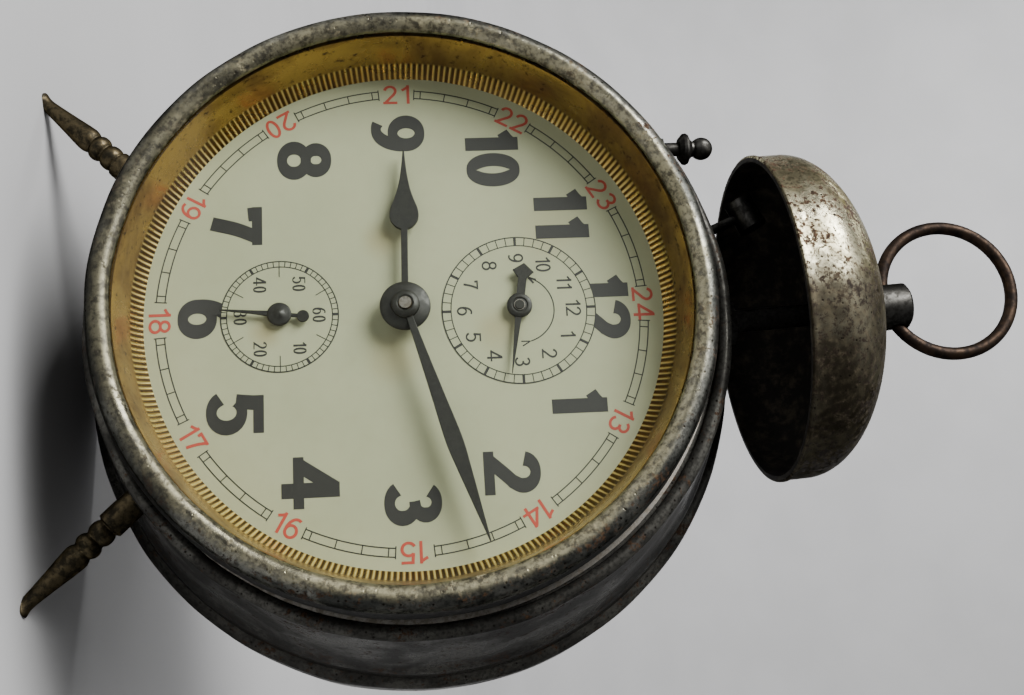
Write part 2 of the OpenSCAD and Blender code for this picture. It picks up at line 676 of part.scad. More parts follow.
// Moves its children to the hammer's head, with +Z along its arm
module hammer_frame() translate([hammer_head_at[0], post_y, hammer_head_at[1]])
    rotate([0, bearing(hammer_at, hammer_head_at), 0]) children();
module hammer_arm() color("dimgray") {
    at(hammer_at) {
        arbor(0.9, 0.6);
        rod(2, post_y - 1.5, post_y + 1.5);
    }
    hammer_frame() translate([0, 0, -norm(hammer_head_at - hammer_at)])
        cylinder(r = hammer_wire, h = norm(hammer_head_at - hammer_at) + 1.5);
    for (s = [-1, 1]) {
        reach = clock_point(strike, strike_r + 1.6, bearing(strike, hammer_at) + s * 28);
        flat(strike_y - 0.5, 1) strip(hammer_at, reach, 1.4);
    }
}
module hammer_head() color("dimgray") hammer_frame() difference() {
    rotate([0, 90, 0]) translate([0, 0, -head_l / 2]) cylinder(r = head_r, h = head_l);
    translate([0, 0, -4]) cylinder(r = hammer_wire + snug, h = 5.5 + snug);
}
module alarm_arbor() color("silver") at(alarm_hand_at) rod(alarm_arbor_r, -1.6, knob_y + 5);
module alarm_release_wheel() color("goldenrod") at(alarm_hand_at) difference() {
    union() {
        wheel(40, m_hour, motion_y, 1, gap_to(alarm_hand_at, centre, 40));
        rod(2.8, motion_y, 5.1);
    }
    rod(alarm_arbor_r + slack, 1, 7);
}
spring_foot = [14, 27];
module alarm_release_spring() color("steelblue") difference() {
    union() {
        flat(5.5, 0.4) {
            translate(alarm_hand_at) circle(2.6);
            strip(alarm_hand_at, spring_foot, 3);
            translate(spring_foot) circle(2.2);
        }
        at(spring_foot) rod(1.6, 5.5, front_plate_y);
    }
    at(alarm_hand_at) rod(1.4, 5, 7);
}
module alarm_set_knob() color("tan") at(alarm_hand_at) knob(5, alarm_arbor_r + snug);

// ---------- Movement frame ----------

// Pivot holes that both plates share
module pivot_holes(y0) {
    for (p = [third, fourth, strike, hammer_at]) at(p) rod(0.6 + slack, y0 - 1, y0 + 3);
    for (p = [escape, pallet, balance]) at(p) rod(0.5 + slack, y0 - 1, y0 + 3);
    at(centre) rod(centre_r + slack, y0 - 1, y0 + 3);
    at(alarm_hand_at) rod(alarm_arbor_r + slack, y0 - 1, y0 + 3);
    pillar_places() rod(pillar_neck + snug, y0 - 1, y0 + 3);
}
module front_plate() color("khaki") difference() {
    union() {
        rod(plate_r, front_plate_y, front_plate_y + plate_t);
        at(minute_at) rod(minute_post, 1.6, front_plate_y + 1);
    }
    pivot_holes(front_plate_y);
    for (p = [time_at, alarm_at]) at(p) rod(1.2 + slack, front_plate_y - 1, front_plate_y + 3);
    dial_foot_places() rod(dial_foot_r + slack, front_plate_y - 1, front_plate_y + 3);
}
module back_plate() color("khaki") difference() {
    union() {
        rod(plate_r, back_plate_y, plate_end);
        at(balance) rod(regulator_boss, back_plate_y, plate_end + 1.4);
    }
    pivot_holes(back_plate_y);
    for (p = [time_at, alarm_at]) at(p) rod(winding_r + slack, back_plate_y - 1, back_plate_y + 3);
}
module plate_pillars() color("khaki") pillar_places() difference() {
    union() {
        rod(pillar_r, front_plate_y + plate_t, back_plate_y);
        rod(pillar_neck, dial_back, cover_y);
        rod(pillar_r, dial_back, front_plate_y);
    }
    rod(screw_r + snug, cover_y - 5, cover_y + 1);
}
module pillar_nuts() color("slategray") pillar_places() translate([0, plate_end, 0])
    rotate([-90, 0, 0]) nut(3.2, 2, pillar_neck + snug);

stand() case_drum();
stand() front_bezel();
stand() dial_glass();
stand() gilt_ring();
stand() dial_plate();
stand() dial_paper();
stand() dial_pins();
stand() back_cover();
stand() back_cover_screws();
stand() foot_left();
stand() foot_right();
stand() foot_nuts();
stand() bell_post();
stand() bell_post_nut();
stand() bell();
stand() bell_collar();
stand() carrying_ring();
stand() stop_button();
stand() stop_button_bush();
stand() hour_hand();
stand() minute_hand();
stand() hand_washer();
stand() centre_arbor();
stand() cannon_pinion();
stand() hand_set_knob();
stand() hour_wheel();
stand() minute_wheel();
stand() centre_wheel();
stand() third_wheel();
stand() fourth_wheel();
stand() seconds_hand();
stand() escape_wheel();
stand() pallet_lever();
stand() balance_wheel();
stand() hairspring();
stand() regulator_lever();
stand() time_mainspring();
stand() time_great_wheel();
stand() time_click();
stand() time_winding_arbor();
stand() time_key();
stand() alarm_mainspring();
stand() alarm_great_wheel();
stand() alarm_click();
stand() alarm_winding_arbor();
stand() alarm_key();
stand() alarm_strike_wheel();
stand() hammer_arm();
stand() hammer_head();
stand() alarm_hand();
stand() alarm_arbor();
stand() alarm_release_wheel();
stand() alarm_release_spring();
stand() alarm_set_knob();
stand() front_plate();
stand() back_plate();
stand() plate_pillars();
stand() pillar_nuts();
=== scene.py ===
"""Looks of the wind-up alarm clock. Shapes are drawn in the clock's own frame, in millimetres:
X towards three o'clock, Y into the clock, Z towards twelve, with the origin at the dial's centre."""
import json
import math

import bpy
from mathutils import Matrix, Vector, noise


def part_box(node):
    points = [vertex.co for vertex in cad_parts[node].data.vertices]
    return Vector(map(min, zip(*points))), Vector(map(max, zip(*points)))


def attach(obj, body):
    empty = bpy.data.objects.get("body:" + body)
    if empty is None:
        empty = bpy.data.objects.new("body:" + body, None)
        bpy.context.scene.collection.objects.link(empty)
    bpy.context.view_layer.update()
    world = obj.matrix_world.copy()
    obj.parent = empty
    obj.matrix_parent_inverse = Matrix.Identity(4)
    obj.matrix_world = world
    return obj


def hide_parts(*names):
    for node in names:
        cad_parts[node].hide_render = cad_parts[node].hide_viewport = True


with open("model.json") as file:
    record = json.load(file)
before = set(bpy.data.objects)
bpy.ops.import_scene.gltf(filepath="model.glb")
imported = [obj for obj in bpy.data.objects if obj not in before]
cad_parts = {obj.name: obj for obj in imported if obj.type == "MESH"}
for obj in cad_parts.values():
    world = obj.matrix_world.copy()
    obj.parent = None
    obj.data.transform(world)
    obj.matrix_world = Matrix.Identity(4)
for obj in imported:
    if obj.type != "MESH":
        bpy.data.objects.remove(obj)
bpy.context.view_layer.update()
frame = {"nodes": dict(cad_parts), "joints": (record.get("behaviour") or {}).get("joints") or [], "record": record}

# ---------- The clock's frame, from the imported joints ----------

JOINTS = {j["name"]: j for j in frame["joints"]}
DIAL_CENTRE = Vector(JOINTS["hand_setting_turn"]["pos_m"])
INTO = Vector(JOINTS["hand_setting_turn"]["axis"]).normalized()
ACROSS = Vector((1, 0, 0))
MM = 0.001
# From the clock's frame, in millimetres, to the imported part's, in metres
TO_ROW = Matrix((ACROSS, INTO, ACROSS.cross(INTO))).transposed().to_4x4()
TO_ROW.translation = DIAL_CENTRE
TO_ROW = TO_ROW @ Matrix.Scale(MM, 4)
TO_CLOCK = TO_ROW.inverted()


def joint_at(name):
    """Where a joint's axis crosses the dial, as (x, z) in the clock's frame."""
    p = TO_CLOCK @ Vector(JOINTS[name]["pos_m"])
    return p.x, p.z


# ---------- Camera ----------

# Where the camera stands, and the directions to its right and downwards, in the clock's frame
CAMERA_AT = Vector((69.7, -206.8, -2.1))
CAMERA_RIGHT = Vector((0.0629, -0.0729, 0.9954))
CAMERA_DOWN = Vector((0.9550, 0.2941, -0.0388))
camera_data = bpy.data.cameras.new("camera")
camera_data.lens = 47.0
camera_data.sensor_width = 36.0
camera_data.clip_start = 0.01
camera = bpy.data.objects.new("camera", camera_data)
bpy.context.scene.collection.objects.link(camera)
bpy.context.scene.camera = camera


def place_camera():
    turn = TO_ROW.to_3x3() * (1 / MM)
    right = (turn @ CAMERA_RIGHT).normalized()
    up = -(turn @ CAMERA_DOWN)
    back = right.cross(up).normalized()
    up = back.cross(right)
    pose = Matrix((right, up, back)).transposed().to_4x4()
    pose.translation = TO_ROW @ CAMERA_AT
    camera.matrix_world = pose


place_camera()

# ---------- Material building ----------


class Nodes:
    """Short calls for one material's node tree."""

    def __init__(self, name):
        self.material = bpy.data.materials.new(name)
        self.material.use_nodes = True
        self.tree = self.material.node_tree
        self.tree.nodes.clear()
        self.out = self.tree.nodes.new("ShaderNodeOutputMaterial")
        coordinates = self.tree.nodes.new("ShaderNodeTexCoord")
        to_mm = self.node("ShaderNodeMapping")
        to_mm.inputs["Scale"].default_value = (1 / MM,) * 3
        to_mm.inputs["Rotation"].default_value = TO_CLOCK.to_euler("XYZ")
        to_mm.inputs["Location"].default_value = TO_CLOCK.translation
        self.link(coordinates.outputs["Object"], to_mm.inputs["Vector"])
        self.mm = to_mm.outputs["Vector"]
        split = self.node("ShaderNodeSeparateXYZ")
        self.link(self.mm, split.inputs["Vector"])
        self.x, self.y, self.z = split.outputs

    def node(self, kind, **settings):
        made = self.tree.nodes.new(kind)
        for key, value in settings.items():
            setattr(made, key, value)
        return made

    def link(self, a, b):
        self.tree.links.new(a, b)

    def put(self, socket, value):
        """Links a socket to another, or sets its value."""
        if isinstance(value, bpy.types.NodeSocket):
            self.link(value, socket)
        else:
            socket.default_value = value

    def noise(self, scale, detail=4.0, rough=0.55, distort=0.0):
        n = self.node("ShaderNodeTexNoise")
        self.link(self.mm, n.inputs["Vector"])
        n.inputs["Scale"].default_value = scale
        n.inputs["Detail"].default_value = detail
        n.inputs["Roughness"].default_value = rough
        n.inputs["Distortion"].default_value = distort
        return n.outputs["Fac"]

    def cells(self, scale):
        """Distance to the nearest of many scattered points."""
        n = self.node("ShaderNodeTexVoronoi", feature="F1")
        self.link(self.mm, n.inputs["Vector"])
        n.inputs["Scale"].default_value = scale
        return n.outputs["Distance"]

    def ramp(self, fac, low, high):
        """0 below low, 1 above high, smooth between."""
        n = self.node("ShaderNodeMapRange", interpolation_type="SMOOTHSTEP")
        self.link(fac, n.inputs["Value"])
        n.inputs["From Min"].default_value = low
        n.inputs["From Max"].default_value = high
        return n.outputs["Result"]

    def math(self, operation, a, b):
        n = self.node("ShaderNodeMath", operation=operation)
        self.put(n.inputs[0], a)
        self.put(n.inputs[1], b)
        return n.outputs[0]

    def mix(self, fac, a, b):
        """Colour a where fac is 0 and b where it is 1."""
        n = self.node("ShaderNodeMix", data_type="RGBA")
        self.put(n.inputs["Factor"], fac)
        self.put(n.inputs[6], a)
        self.put(n.inputs[7], b)
        return n.outputs[2]

    def mix_value(self, fac, a, b):
        n = self.node("ShaderNodeMix", data_type="FLOAT")
        self.put(n.inputs["Factor"], fac)
        self.put(n.inputs[2], a)
        self.put(n.inputs[3], b)
        return n.outputs[0]

    def bump(self, height, distance_mm, strength):
        n = self.node("ShaderNodeBump")
        self.link(height, n.inputs["Height"])
        n.inputs["Distance"].default_value = distance_mm * MM
        n.inputs["Strength"].default_value = strength
        return n.outputs["Normal"]

    def surface(self, colour, rough, metal, normal, **more):
        """The material with one Principled shader. more sets sockets by name."""
        p = self.node("ShaderNodeBsdfPrincipled")
        self.put(p.inputs["Base Color"], colour)
        self.put(p.inputs["Roughness"], rough)
        self.put(p.inputs["Metallic"], metal)
        self.link(normal, p.inputs["Normal"])
        for key, value in more.items():
            self.put(p.inputs[key], value)
        self.link(p.outputs["BSDF"], self.out.inputs["Surface"])
        return self.material


def rgb(r, g, b):
    """A colour given as it looks on screen, 0 to 255."""
    def linear(v):
        v /= 255
        return v / 12.92 if v <= 0.04045 else ((v + 0.055) / 1.055) ** 2.4
    return (linear(r), linear(g), linear(b), 1.0)


# ---------- Materials ----------


def aged_nickel(n, shine, shade, rust, freckle=0.5):
    """Colour, roughness, metal and height of old nickel plate on steel. shine is the worn bright
    metal, shade its dull patina, rust the share that has gone brown, and freckle how much of that
    is in small specks."""
    dull = n.ramp(n.noise(0.09, 5, 0.62, 0.4), 0.36, 0.6)
    grain = n.noise(1.6, 6, 0.7)
    base = n.mix(dull, rgb(*shine), rgb(*shade))
    soot = tuple(c * 0.45 for c in shade)
    base = n.mix(n.math("MULTIPLY", n.ramp(grain, 0.45, 0.62), 0.6), base, rgb(*soot))
    clouds = n.noise(0.14, 6, 0.68, 0.5)
    specks = n.noise(1.1, 5, 0.75)
    mixed = n.math("ADD", n.math("MULTIPLY", clouds, 1 - freckle), n.math("MULTIPLY", specks, freckle))
    rusty = n.ramp(mixed, 0.64 - rust, 0.69 - rust)
    brown = n.mix(n.ramp(n.noise(2.4, 3), 0.35, 0.65), rgb(40, 30, 23), rgb(74, 55, 40))
    colour = n.mix(rusty, base, brown)
    pits = n.ramp(n.cells(0.8), 0.10, 0.2)
    colour = n.mix(pits, rgb(24, 21, 18), colour)
    rough = n.mix_value(rusty, n.mix_value(dull, 0.26, 0.44), 0.72)
    height = n.math("ADD", n.math("MULTIPLY", grain, 0.5), n.math("MULTIPLY", pits, 0.6))
    return colour, rough, n.mix_value(rusty, 0.95, 0.3), height


# Grime and painted shade on metal: a dark edge tint that keeps a metal's edges from mirroring the bright stage
# around them
GRIME_AND_SHADE_EDGE = {"Specular Tint": (0.25, 0.25, 0.24, 1), "Specular IOR Level": 0.25}


def case_nickel():
    """The drum's plate, dark all over."""
    n = Nodes("worn_nickel")
    colour, rough, metal, height = aged_nickel(n, (88, 87, 82), (56, 55, 52), 0.09)
    dulled = n.math("MULTIPLY", metal, 0.6)
    return n.surface(colour, rough, dulled, n.bump(height, 0.05, 0.6), **GRIME_AND_SHADE_EDGE)


# Depths between which the bezel's face gives way to its flank, and radii between which the
# rubbed inner side gives way to the round
FLANK_FROM, FLANK_TO = -8.6, -7.4
RUBBED_FROM, RUBBED_TO = 48.0, 49.6


def bezel_nickel():
    """The bezel's face is rubbed through to a warm cream at its inner side, its round is grey, darker
    towards six o'clock, and its flank is black, partly with age and partly as painted shade."""
    n = Nodes("bezel_nickel")
    colour, rough, metal, height = aged_nickel(n, (126, 126, 119), (60, 61, 58), 0.1)
    axis = n.node("ShaderNodeCombineXYZ")
    n.link(n.x, axis.inputs["X"])
    n.link(n.z, axis.inputs["Y"])
    radius = n.node("ShaderNodeVectorMath", operation="LENGTH")
    n.link(axis.outputs["Vector"], radius.inputs[0])
    worn_to = n.math("ADD", radius.outputs["Value"], n.math("MULTIPLY", n.noise(0.2, 5, 0.7), 2.4))
    inner = n.math("SUBTRACT", 1.0, n.ramp(worn_to, RUBBED_FROM, RUBBED_TO))
    rubbed = n.mix(n.ramp(n.noise(0.7, 6, 0.72), 0.42, 0.62), rgb(164, 158, 128), rgb(84, 79, 64))
    colour = n.mix(n.math("MULTIPLY", inner, 0.65), colour, rubbed)
    low = n.ramp(n.math("SUBTRACT", n.math("MULTIPLY", n.noise(0.15, 4, 0.6), 16.0), n.z), 24.0, 50.0)
    colour = n.mix(n.math("MULTIPLY", low, 0.6), colour, rgb(46, 46, 43))
    # The flank's black and its streaks are partly tarnish and partly painted shade
    flank = n.ramp(n.math("ADD", n.y, n.math("MULTIPLY", n.noise(0.5, 5, 0.7), 1.6)),
                   FLANK_FROM, FLANK_TO)
    streaks = n.ramp(n.noise(0.9, 6, 0.7), 0.5, 0.75)
    black = n.mix(streaks, rgb(24, 24, 22), rgb(66, 65, 60))
    colour = n.mix(flank, colour, black)
    rough = n.mix_value(flank, rough, 0.55)
    metal = n.mix_value(flank, metal, 0.3)
    return n.surface(colour, rough, metal, n.bump(height, 0.06, 0.7), **GRIME_AND_SHADE_EDGE)


def bell_nickel():
    """Bright where it is rubbed, freckled brown, and with painted shade towards three o'clock."""
    n = Nodes("bell_nickel")
    colour, rough, metal, height = aged_nickel(n, (244, 238, 204), (136, 129, 104), 0.14, 0.66)
    # Painted shade: dark brown over the three o'clock side, which faces away from the light
    side = n.ramp(n.math("ADD", n.x, n.math("MULTIPLY", n.noise(0.12, 5, 0.65), 24.0)), 5.0, 17.0)
    dark = n.mix(n.ramp(n.noise(0.8, 6, 0.72), 0.42, 0.7), rgb(34, 29, 25), rgb(84, 77, 62))
    colour = n.mix(n.math("MULTIPLY", side, 0.9), colour, dark)
    rough = n.mix_value(side, n.math("SUBTRACT", rough, 0.08), 0.5)
    return n.surface(colour, rough, metal, n.bump(height, 0.05, 0.6), **GRIME_AND_SHADE_EDGE)


def bell_inside():
    """The bell's inner face, darker than its outside."""
    n = Nodes("bell_inside")
    colour = n.mix(n.ramp(n.noise(0.3, 6, 0.7), 0.45, 0.7), rgb(40, 38, 36), rgb(76, 70, 60))
    return n.surface(colour, 0.7, 0.3, n.bump(n.noise(1.5, 5), 0.05, 0.5), **GRIME_AND_SHADE_EDGE)


REEDS = 290
# Depths between which the smooth cone gives way to the reeded band
REED_BAND = (-2.7, -2.1)


def gilt_brass():
    """Lacquered gilt brass, stained in patches, with painted highlights on the reeds' crests and, in the
    hollows between them, a dark that is partly dirt and partly painted shade."""
    n = Nodes("gilt")
    stain = n.ramp(n.noise(0.07, 5, 0.62, 0.5), 0.42, 0.66)
    fleck = n.ramp(n.noise(0.8, 4, 0.7), 0.56, 0.7)
    colour = n.mix(stain, rgb(176, 142, 76), rgb(124, 94, 52))
    colour = n.mix(fleck, colour, rgb(76, 54, 28))
    flat = n.node("ShaderNodeCombineXYZ")
    n.link(n.z, flat.inputs["X"])
    n.link(n.x, flat.inputs["Y"])
    round_about = n.node("ShaderNodeTexGradient", gradient_type="RADIAL")
    n.link(flat.outputs["Vector"], round_about.inputs["Vector"])
    turn = n.math("MULTIPLY", round_about.outputs["Fac"], REEDS)
    wave = n.math("PINGPONG", turn, 0.5)
    groove = n.math("SUBTRACT", 1.0, n.ramp(wave, 0.1, 0.34))
    in_band = n.ramp(n.y, *REED_BAND)
    # Painted highlight: bright yellow along the reeds' crests
    crest_highlight = n.math("MULTIPLY", n.ramp(wave, 0.26, 0.42), in_band)
    colour = n.mix(n.math("MULTIPLY", crest_highlight, 0.75), colour, rgb(255, 232, 150))
    # Dark in the hollows between the reeds: partly dirt, partly painted shade
    groove_dirt_and_shade = n.math("MULTIPLY", n.math("MULTIPLY", groove, in_band), 0.85)
    colour = n.mix(groove_dirt_and_shade, colour, rgb(60, 43, 21))
    rough = n.mix_value(stain, 0.26, 0.38)
    return n.surface(colour, rough, 0.92, n.bump(n.noise(1.2, 4), 0.03, 0.4))


def dial_print(name, colour):
    """Printing ink, a little rubbed."""
    n = Nodes(name)
    worn = n.ramp(n.noise(1.1, 5, 0.65), 0.3, 0.8)
    dark = tuple(c * 0.86 for c in colour[:3]) + (1.0,)
    return n.surface(n.mix(worn, dark, colour), 0.55, 0.0, n.bump(n.noise(3.0, 3), 0.01, 0.3))


# Brown smudges, partly stains and partly painted shadow of the hands and the bezel: place on the dial, radius,
# strength
SMUDGES_AND_SHADOWS = [((7.5, -2.0), 6.0, 0.35), ((-12.5, -3.2), 4.5, 0.4), ((3.5, 14.8), 5.0, 0.35),
          ((2.8, -22.5), 3.4, 0.45), ((-14.0, 24.0), 9.0, 0.2)]


def dial_cream():
    """Printed paper, gone cream, with brown smudges beside the hub and the two small arbors, partly stains and
    partly painted shadow.
    """
    n = Nodes("dial_cream")
    colour = n.mix(n.ramp(n.noise(0.05, 4, 0.6), 0.3, 0.7), rgb(171, 173, 141), rgb(164, 167, 135))
    mottled = n.ramp(n.noise(0.5, 6, 0.7), 0.45, 0.8)
    colour = n.mix(n.math("MULTIPLY", mottled, 0.25), colour, rgb(152, 150, 118))
    # Each smudge is partly stain and partly painted shadow
    for (x, z), radius, depth in SMUDGES_AND_SHADOWS:
        near = n.node("ShaderNodeVectorMath", operation="DISTANCE")
        n.link(n.mm, near.inputs[0])
        near.inputs[1].default_value = (x, 0, z)
        edge = n.math("ADD", near.outputs["Value"], n.math("MULTIPLY", n.noise(0.25, 3), radius * 0.6))
        mask = n.math("SUBTRACT", 1.0, n.ramp(edge, radius * 0.35, radius * 1.35))
        colour = n.mix(n.math("MULTIPLY", mask, depth), colour, rgb(146, 128, 76))
    return n.surface(colour, 0.6, 0.0, n.bump(n.noise(2.2, 4), 0.02, 0.25))


def plain_metal(name, light, dark, rough, scale, metal=1.0, **more):
    """Metal with a darker patina in patches. A larger scale makes smaller patches."""
    n = Nodes(name)
    patch = n.ramp(n.noise(scale, 5, 0.65, 0.3), 0.36, 0.64)
    fine = n.noise(scale * 6, 4, 0.6)
    colour = n.mix(patch, rgb(*light), rgb(*dark))
    pitted = n.math("MULTIPLY", n.ramp(fine, 0.55, 0.75), 0.5)
    colour = n.mix(pitted, colour, rgb(*[c * 0.5 for c in dark]))
    roughness = n.mix_value(patch, rough, rough + 0.15)
    return n.surface(colour, roughness, metal, n.bump(fine, 0.02, 0.6), **more)


def clear_glass():
    """A pane that lets the light through and keeps its reflections."""
    n = Nodes("clear_glass")
    clear = n.node("ShaderNodeBsdfTransparent")
    clear.inputs["Color"].default_value = (0.94, 0.95, 0.935, 1)
    gloss = n.node("ShaderNodeBsdfGlossy")
    gloss.inputs["Roughness"].default_value = 0.03
    fresnel = n.node("ShaderNodeFresnel")
    fresnel.inputs["IOR"].default_value = 1.32
    # Seen from inside, a pane with no refraction must not turn into a mirror
    facing = n.math("SUBTRACT", 1.0, n.node("ShaderNodeNewGeometry").outputs["Backfacing"])
    mixed = n.node("ShaderNodeMixShader")
    n.link(n.math("MULTIPLY", fresnel.outputs["Fac"], facing), mixed.inputs["Fac"])
    n.link(clear.outputs["BSDF"], mixed.inputs[1])
    n.link(gloss.outputs["BSDF"], mixed.inputs[2])
    n.link(mixed.outputs["Shader"], n.out.inputs["Surface"])
    return n.material


NICKEL = case_nickel()
BELL_NICKEL = bell_nickel()
BELL_INSIDE = bell_inside()
BEZEL_NICKEL = bezel_nickel()
GILT = gilt_brass()
CREAM = dial_cream()
BLACK_INK = dial_print("black_ink", rgb(40, 40, 36))
RED_INK = dial_print("red_ink", rgb(184, 72, 56))
HAND_BLACK = plain_metal("hand_black", (46, 46, 41), (34, 34, 30), 0.38, 0.9, 0.3)
DARK_BRASS = plain_metal("dark_brass", (86, 77, 58), (44, 41, 33), 0.4, 0.8, **GRIME_AND_SHADE_EDGE)
COLLAR_STEEL = plain_metal("collar_steel", (74, 73, 70), (40, 39, 37), 0.36, 0.7, **GRIME_AND_SHADE_EDGE)
RING_PATINA = plain_metal("ring_patina", (54, 43, 35), (30, 26, 24), 0.4, 0.6, 0.8, **GRIME_AND_SHADE_EDGE)
STEEL = plain_metal("arbor_steel", (172, 168, 160), (120, 114, 104), 0.3, 0.8)
BLUED = plain_metal("spring_steel", (74, 84, 112), (52, 56, 70), 0.3, 0.5)
BRASS = plain_metal("movement_brass", (196, 160, 88), (150, 116, 58), 0.32, 0.4)
KEY_BRASS = plain_metal("key_brass", (150, 126, 80), (92, 76, 48), 0.42, 0.6)
GLASS = clear_glass()
SLOT_LOOKS = {"worn_nickel": NICKEL, "bezel_nickel": BEZEL_NICKEL, "clear_glass": GLASS, "gilt": GILT,
              "dial_print": CREAM, "tin_plate": STEEL, "dark_brass": DARK_BRASS,
              "collar_steel": COLLAR_STEEL, "ring_patina": RING_PATINA, "black_hands": HAND_BLACK,
              "movement_brass": BRASS, "arbor_steel": STEEL, "spring_steel": BLUED, "key_brass": KEY_BRASS}
# Nodes given a darker material than the rest of their slot
DARKENED = {node: COLLAR_STEEL for node in ("hammer_head", "hammer_arm", "bell_post", "bell_post_nut",
                                            "stop_button", "stop_button_bush")}
for part in frame["record"]["subparts"]:
    cad = frame["nodes"][part["node"]]
    look = DARKENED.get(part["node"], SLOT_LOOKS[part["material_slot"]])
    cad.data.materials.clear()
    cad.data.materials.append(look)

# ---------- Mesh building ----------


def piece(name, verts, faces, body, slot, material, sharp=40, bevel=0.0):
    """A new piece from points in the clock's frame. It rides on a body and takes a material. slot is not used."""
    mesh = bpy.data.meshes.new(name)
    mesh.from_pydata([TO_ROW @ Vector(v) for v in verts], [], faces)
    mesh.validate()
    made = bpy.data.objects.new(name, mesh)
    bpy.context.scene.collection.objects.link(made)
    mesh.materials.append(material)
    mesh.polygons.foreach_set("use_smooth", [True] * len(mesh.polygons))
    mesh.set_sharp_from_angle(angle=math.radians(sharp))
    if bevel:
        mod = made.modifiers.new("edges", "BEVEL")
        mod.width = bevel * MM
        mod.segments = 2
        mod.limit_method = "ANGLE"
        mod.angle_limit = math.radians(30)
        mod.harden_normals = True
    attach(made, body)
    return made


def lathe(profile, steps, shift=None, closed=True):
    """A (radius, depth) outline turned about the Y axis. One that isn't closed is capped at its two
    ends. shift(v, i, j) may move a point."""
    verts, faces = [], []
    count = len(profile)
    for i in range(steps):
        a = 2 * math.pi * i / steps
        for j, (r, y) in enumerate(profile):
            v = Vector((r * math.sin(a), y, r * math.cos(a)))
            verts.append(shift(v, i, j) if shift else v)
    rows = count if closed else count - 1
    for i in range(steps):
        k = (i + 1) % steps
        for j in range(rows):
            m = (j + 1) % count
            faces.append((i * count + j, i * count + m, k * count + m, k * count + j))
    if not closed:
        faces.append([i * count for i in range(steps)])
        faces.append([i * count + count - 1 for i in reversed(range(steps))])
    return verts, faces


def arc(centre, radius, a0, a1, steps):
    """Points along an arc, from angle a0 to a1."""
    return [(centre[0] + radius * math.cos(math.radians(a0 + (a1 - a0) * i / steps)),
             centre[1] + radius * math.sin(math.radians(a0 + (a1 - a0) * i / steps)))
            for i in range(steps + 1)]


def smooth(points, per_side):
    """A Catmull-Rom curve through the points."""
    out = []
    last = len(points) - 1
    for i in range(last):
        p = [Vector(points[max(0, min(last, k))]) for k in (i - 1, i, i + 1, i + 2)]
        for s in range(per_side):
            t = s / per_side
            square = 2 * p[0] - 5 * p[1] + 4 * p[2] - p[3]
            cube = 3 * p[1] - p[0] - 3 * p[2] + p[3]
            out.append(0.5 * ((2 * p[1]) + (p[2] - p[0]) * t + square * t * t + cube * t ** 3))
    out.append(Vector(points[-1]))
    return [tuple(p) for p in out]


def split_edges(profile, longest, closed=True):
    """The outline with points added, so that no side is longer than longest."""
    out = []
    count = len(profile)
    for i in range(count if closed else count - 1):
        a, b = Vector(profile[i]), Vector(profile[(i + 1) % count])
        parts = max(1, math.ceil((b - a).length / longest))
        out += [tuple(a.lerp(b, k / parts)) for k in range(parts)]
    if not closed:
        out.append(profile[-1])
    return out


def moved(verts, dx, dz):
    return [Vector(v) + Vector((dx, 0, dz)) for v in verts]


def on_clock(centre, radius, angle):
    """The point at a distance from centre, at a clockwise angle from twelve."""
    a = math.radians(angle)
    return centre[0] + radius * math.sin(a), centre[1] + radius * math.cos(a)


def dents(amount, size, seed):
    """A shift for lathe(): small low dents, moved along the radius."""
    def shift(v, _i, _j):
        q = v / size + Vector((seed, seed * 2.3, -seed))
        out = Vector((v.x, 0, v.z)).normalized()
        return v + out * amount * noise.noise(q)
    return shift


# ---------- Case ----------

# The old case sits askew: the drum's back is a little nearer twelve than its front
CASE_RISE = 1.3
CASE_SKEW = 0.015
BEZEL_RISE = 0.35
case_low, case_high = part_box("case_drum")
REAR_R = (case_high.x - case_low.x) / 2 / MM
REAR_ROUND = 2.0
BACK = 40.0
FLANGE_FRONT = 31.5
SHEET = 0.8
# The slot that the hammer's arm swings in
SLOT_SIZE = (10.0, 4.4, 15.0)
SLOT_AT = (-17.6, 13.0, 50.0)


def case_outline():
    """The drum's sheet: front bead, slightly conical wall, step and rear flange."""
    rear = REAR_R - REAR_ROUND
    outer = arc((51.5, 0.4), 1.2, -180, 40, 14)
    outer += [(52.45, 2.4), (52.5, 3.2)]
    outer += [(54.75, 21.6), (55.0, 22.6), (55.5, 24.0), (55.9, 24.9), (56.0, 25.6), (56.0, 27.3)]
    outer += arc((rear, FLANGE_FRONT), REAR_ROUND, -84, 0, 6)
    outer += arc((rear, BACK - REAR_ROUND), REAR_ROUND, 0, 90, 8)
    inner = arc((rear, BACK - REAR_ROUND), REAR_ROUND - SHEET, 90, 0, 6)
    inner += arc((rear, FLANGE_FRONT), REAR_ROUND - SHEET, 0, -84, 4)
    inner += [(55.2, 28.1), (55.2, 25.0), (54.0, 22.0), (51.6, 1.8), (47.0, 1.8), (47.0, 1.0), (50.3, 1.0)]
    return split_edges(outer + inner, 2.2)


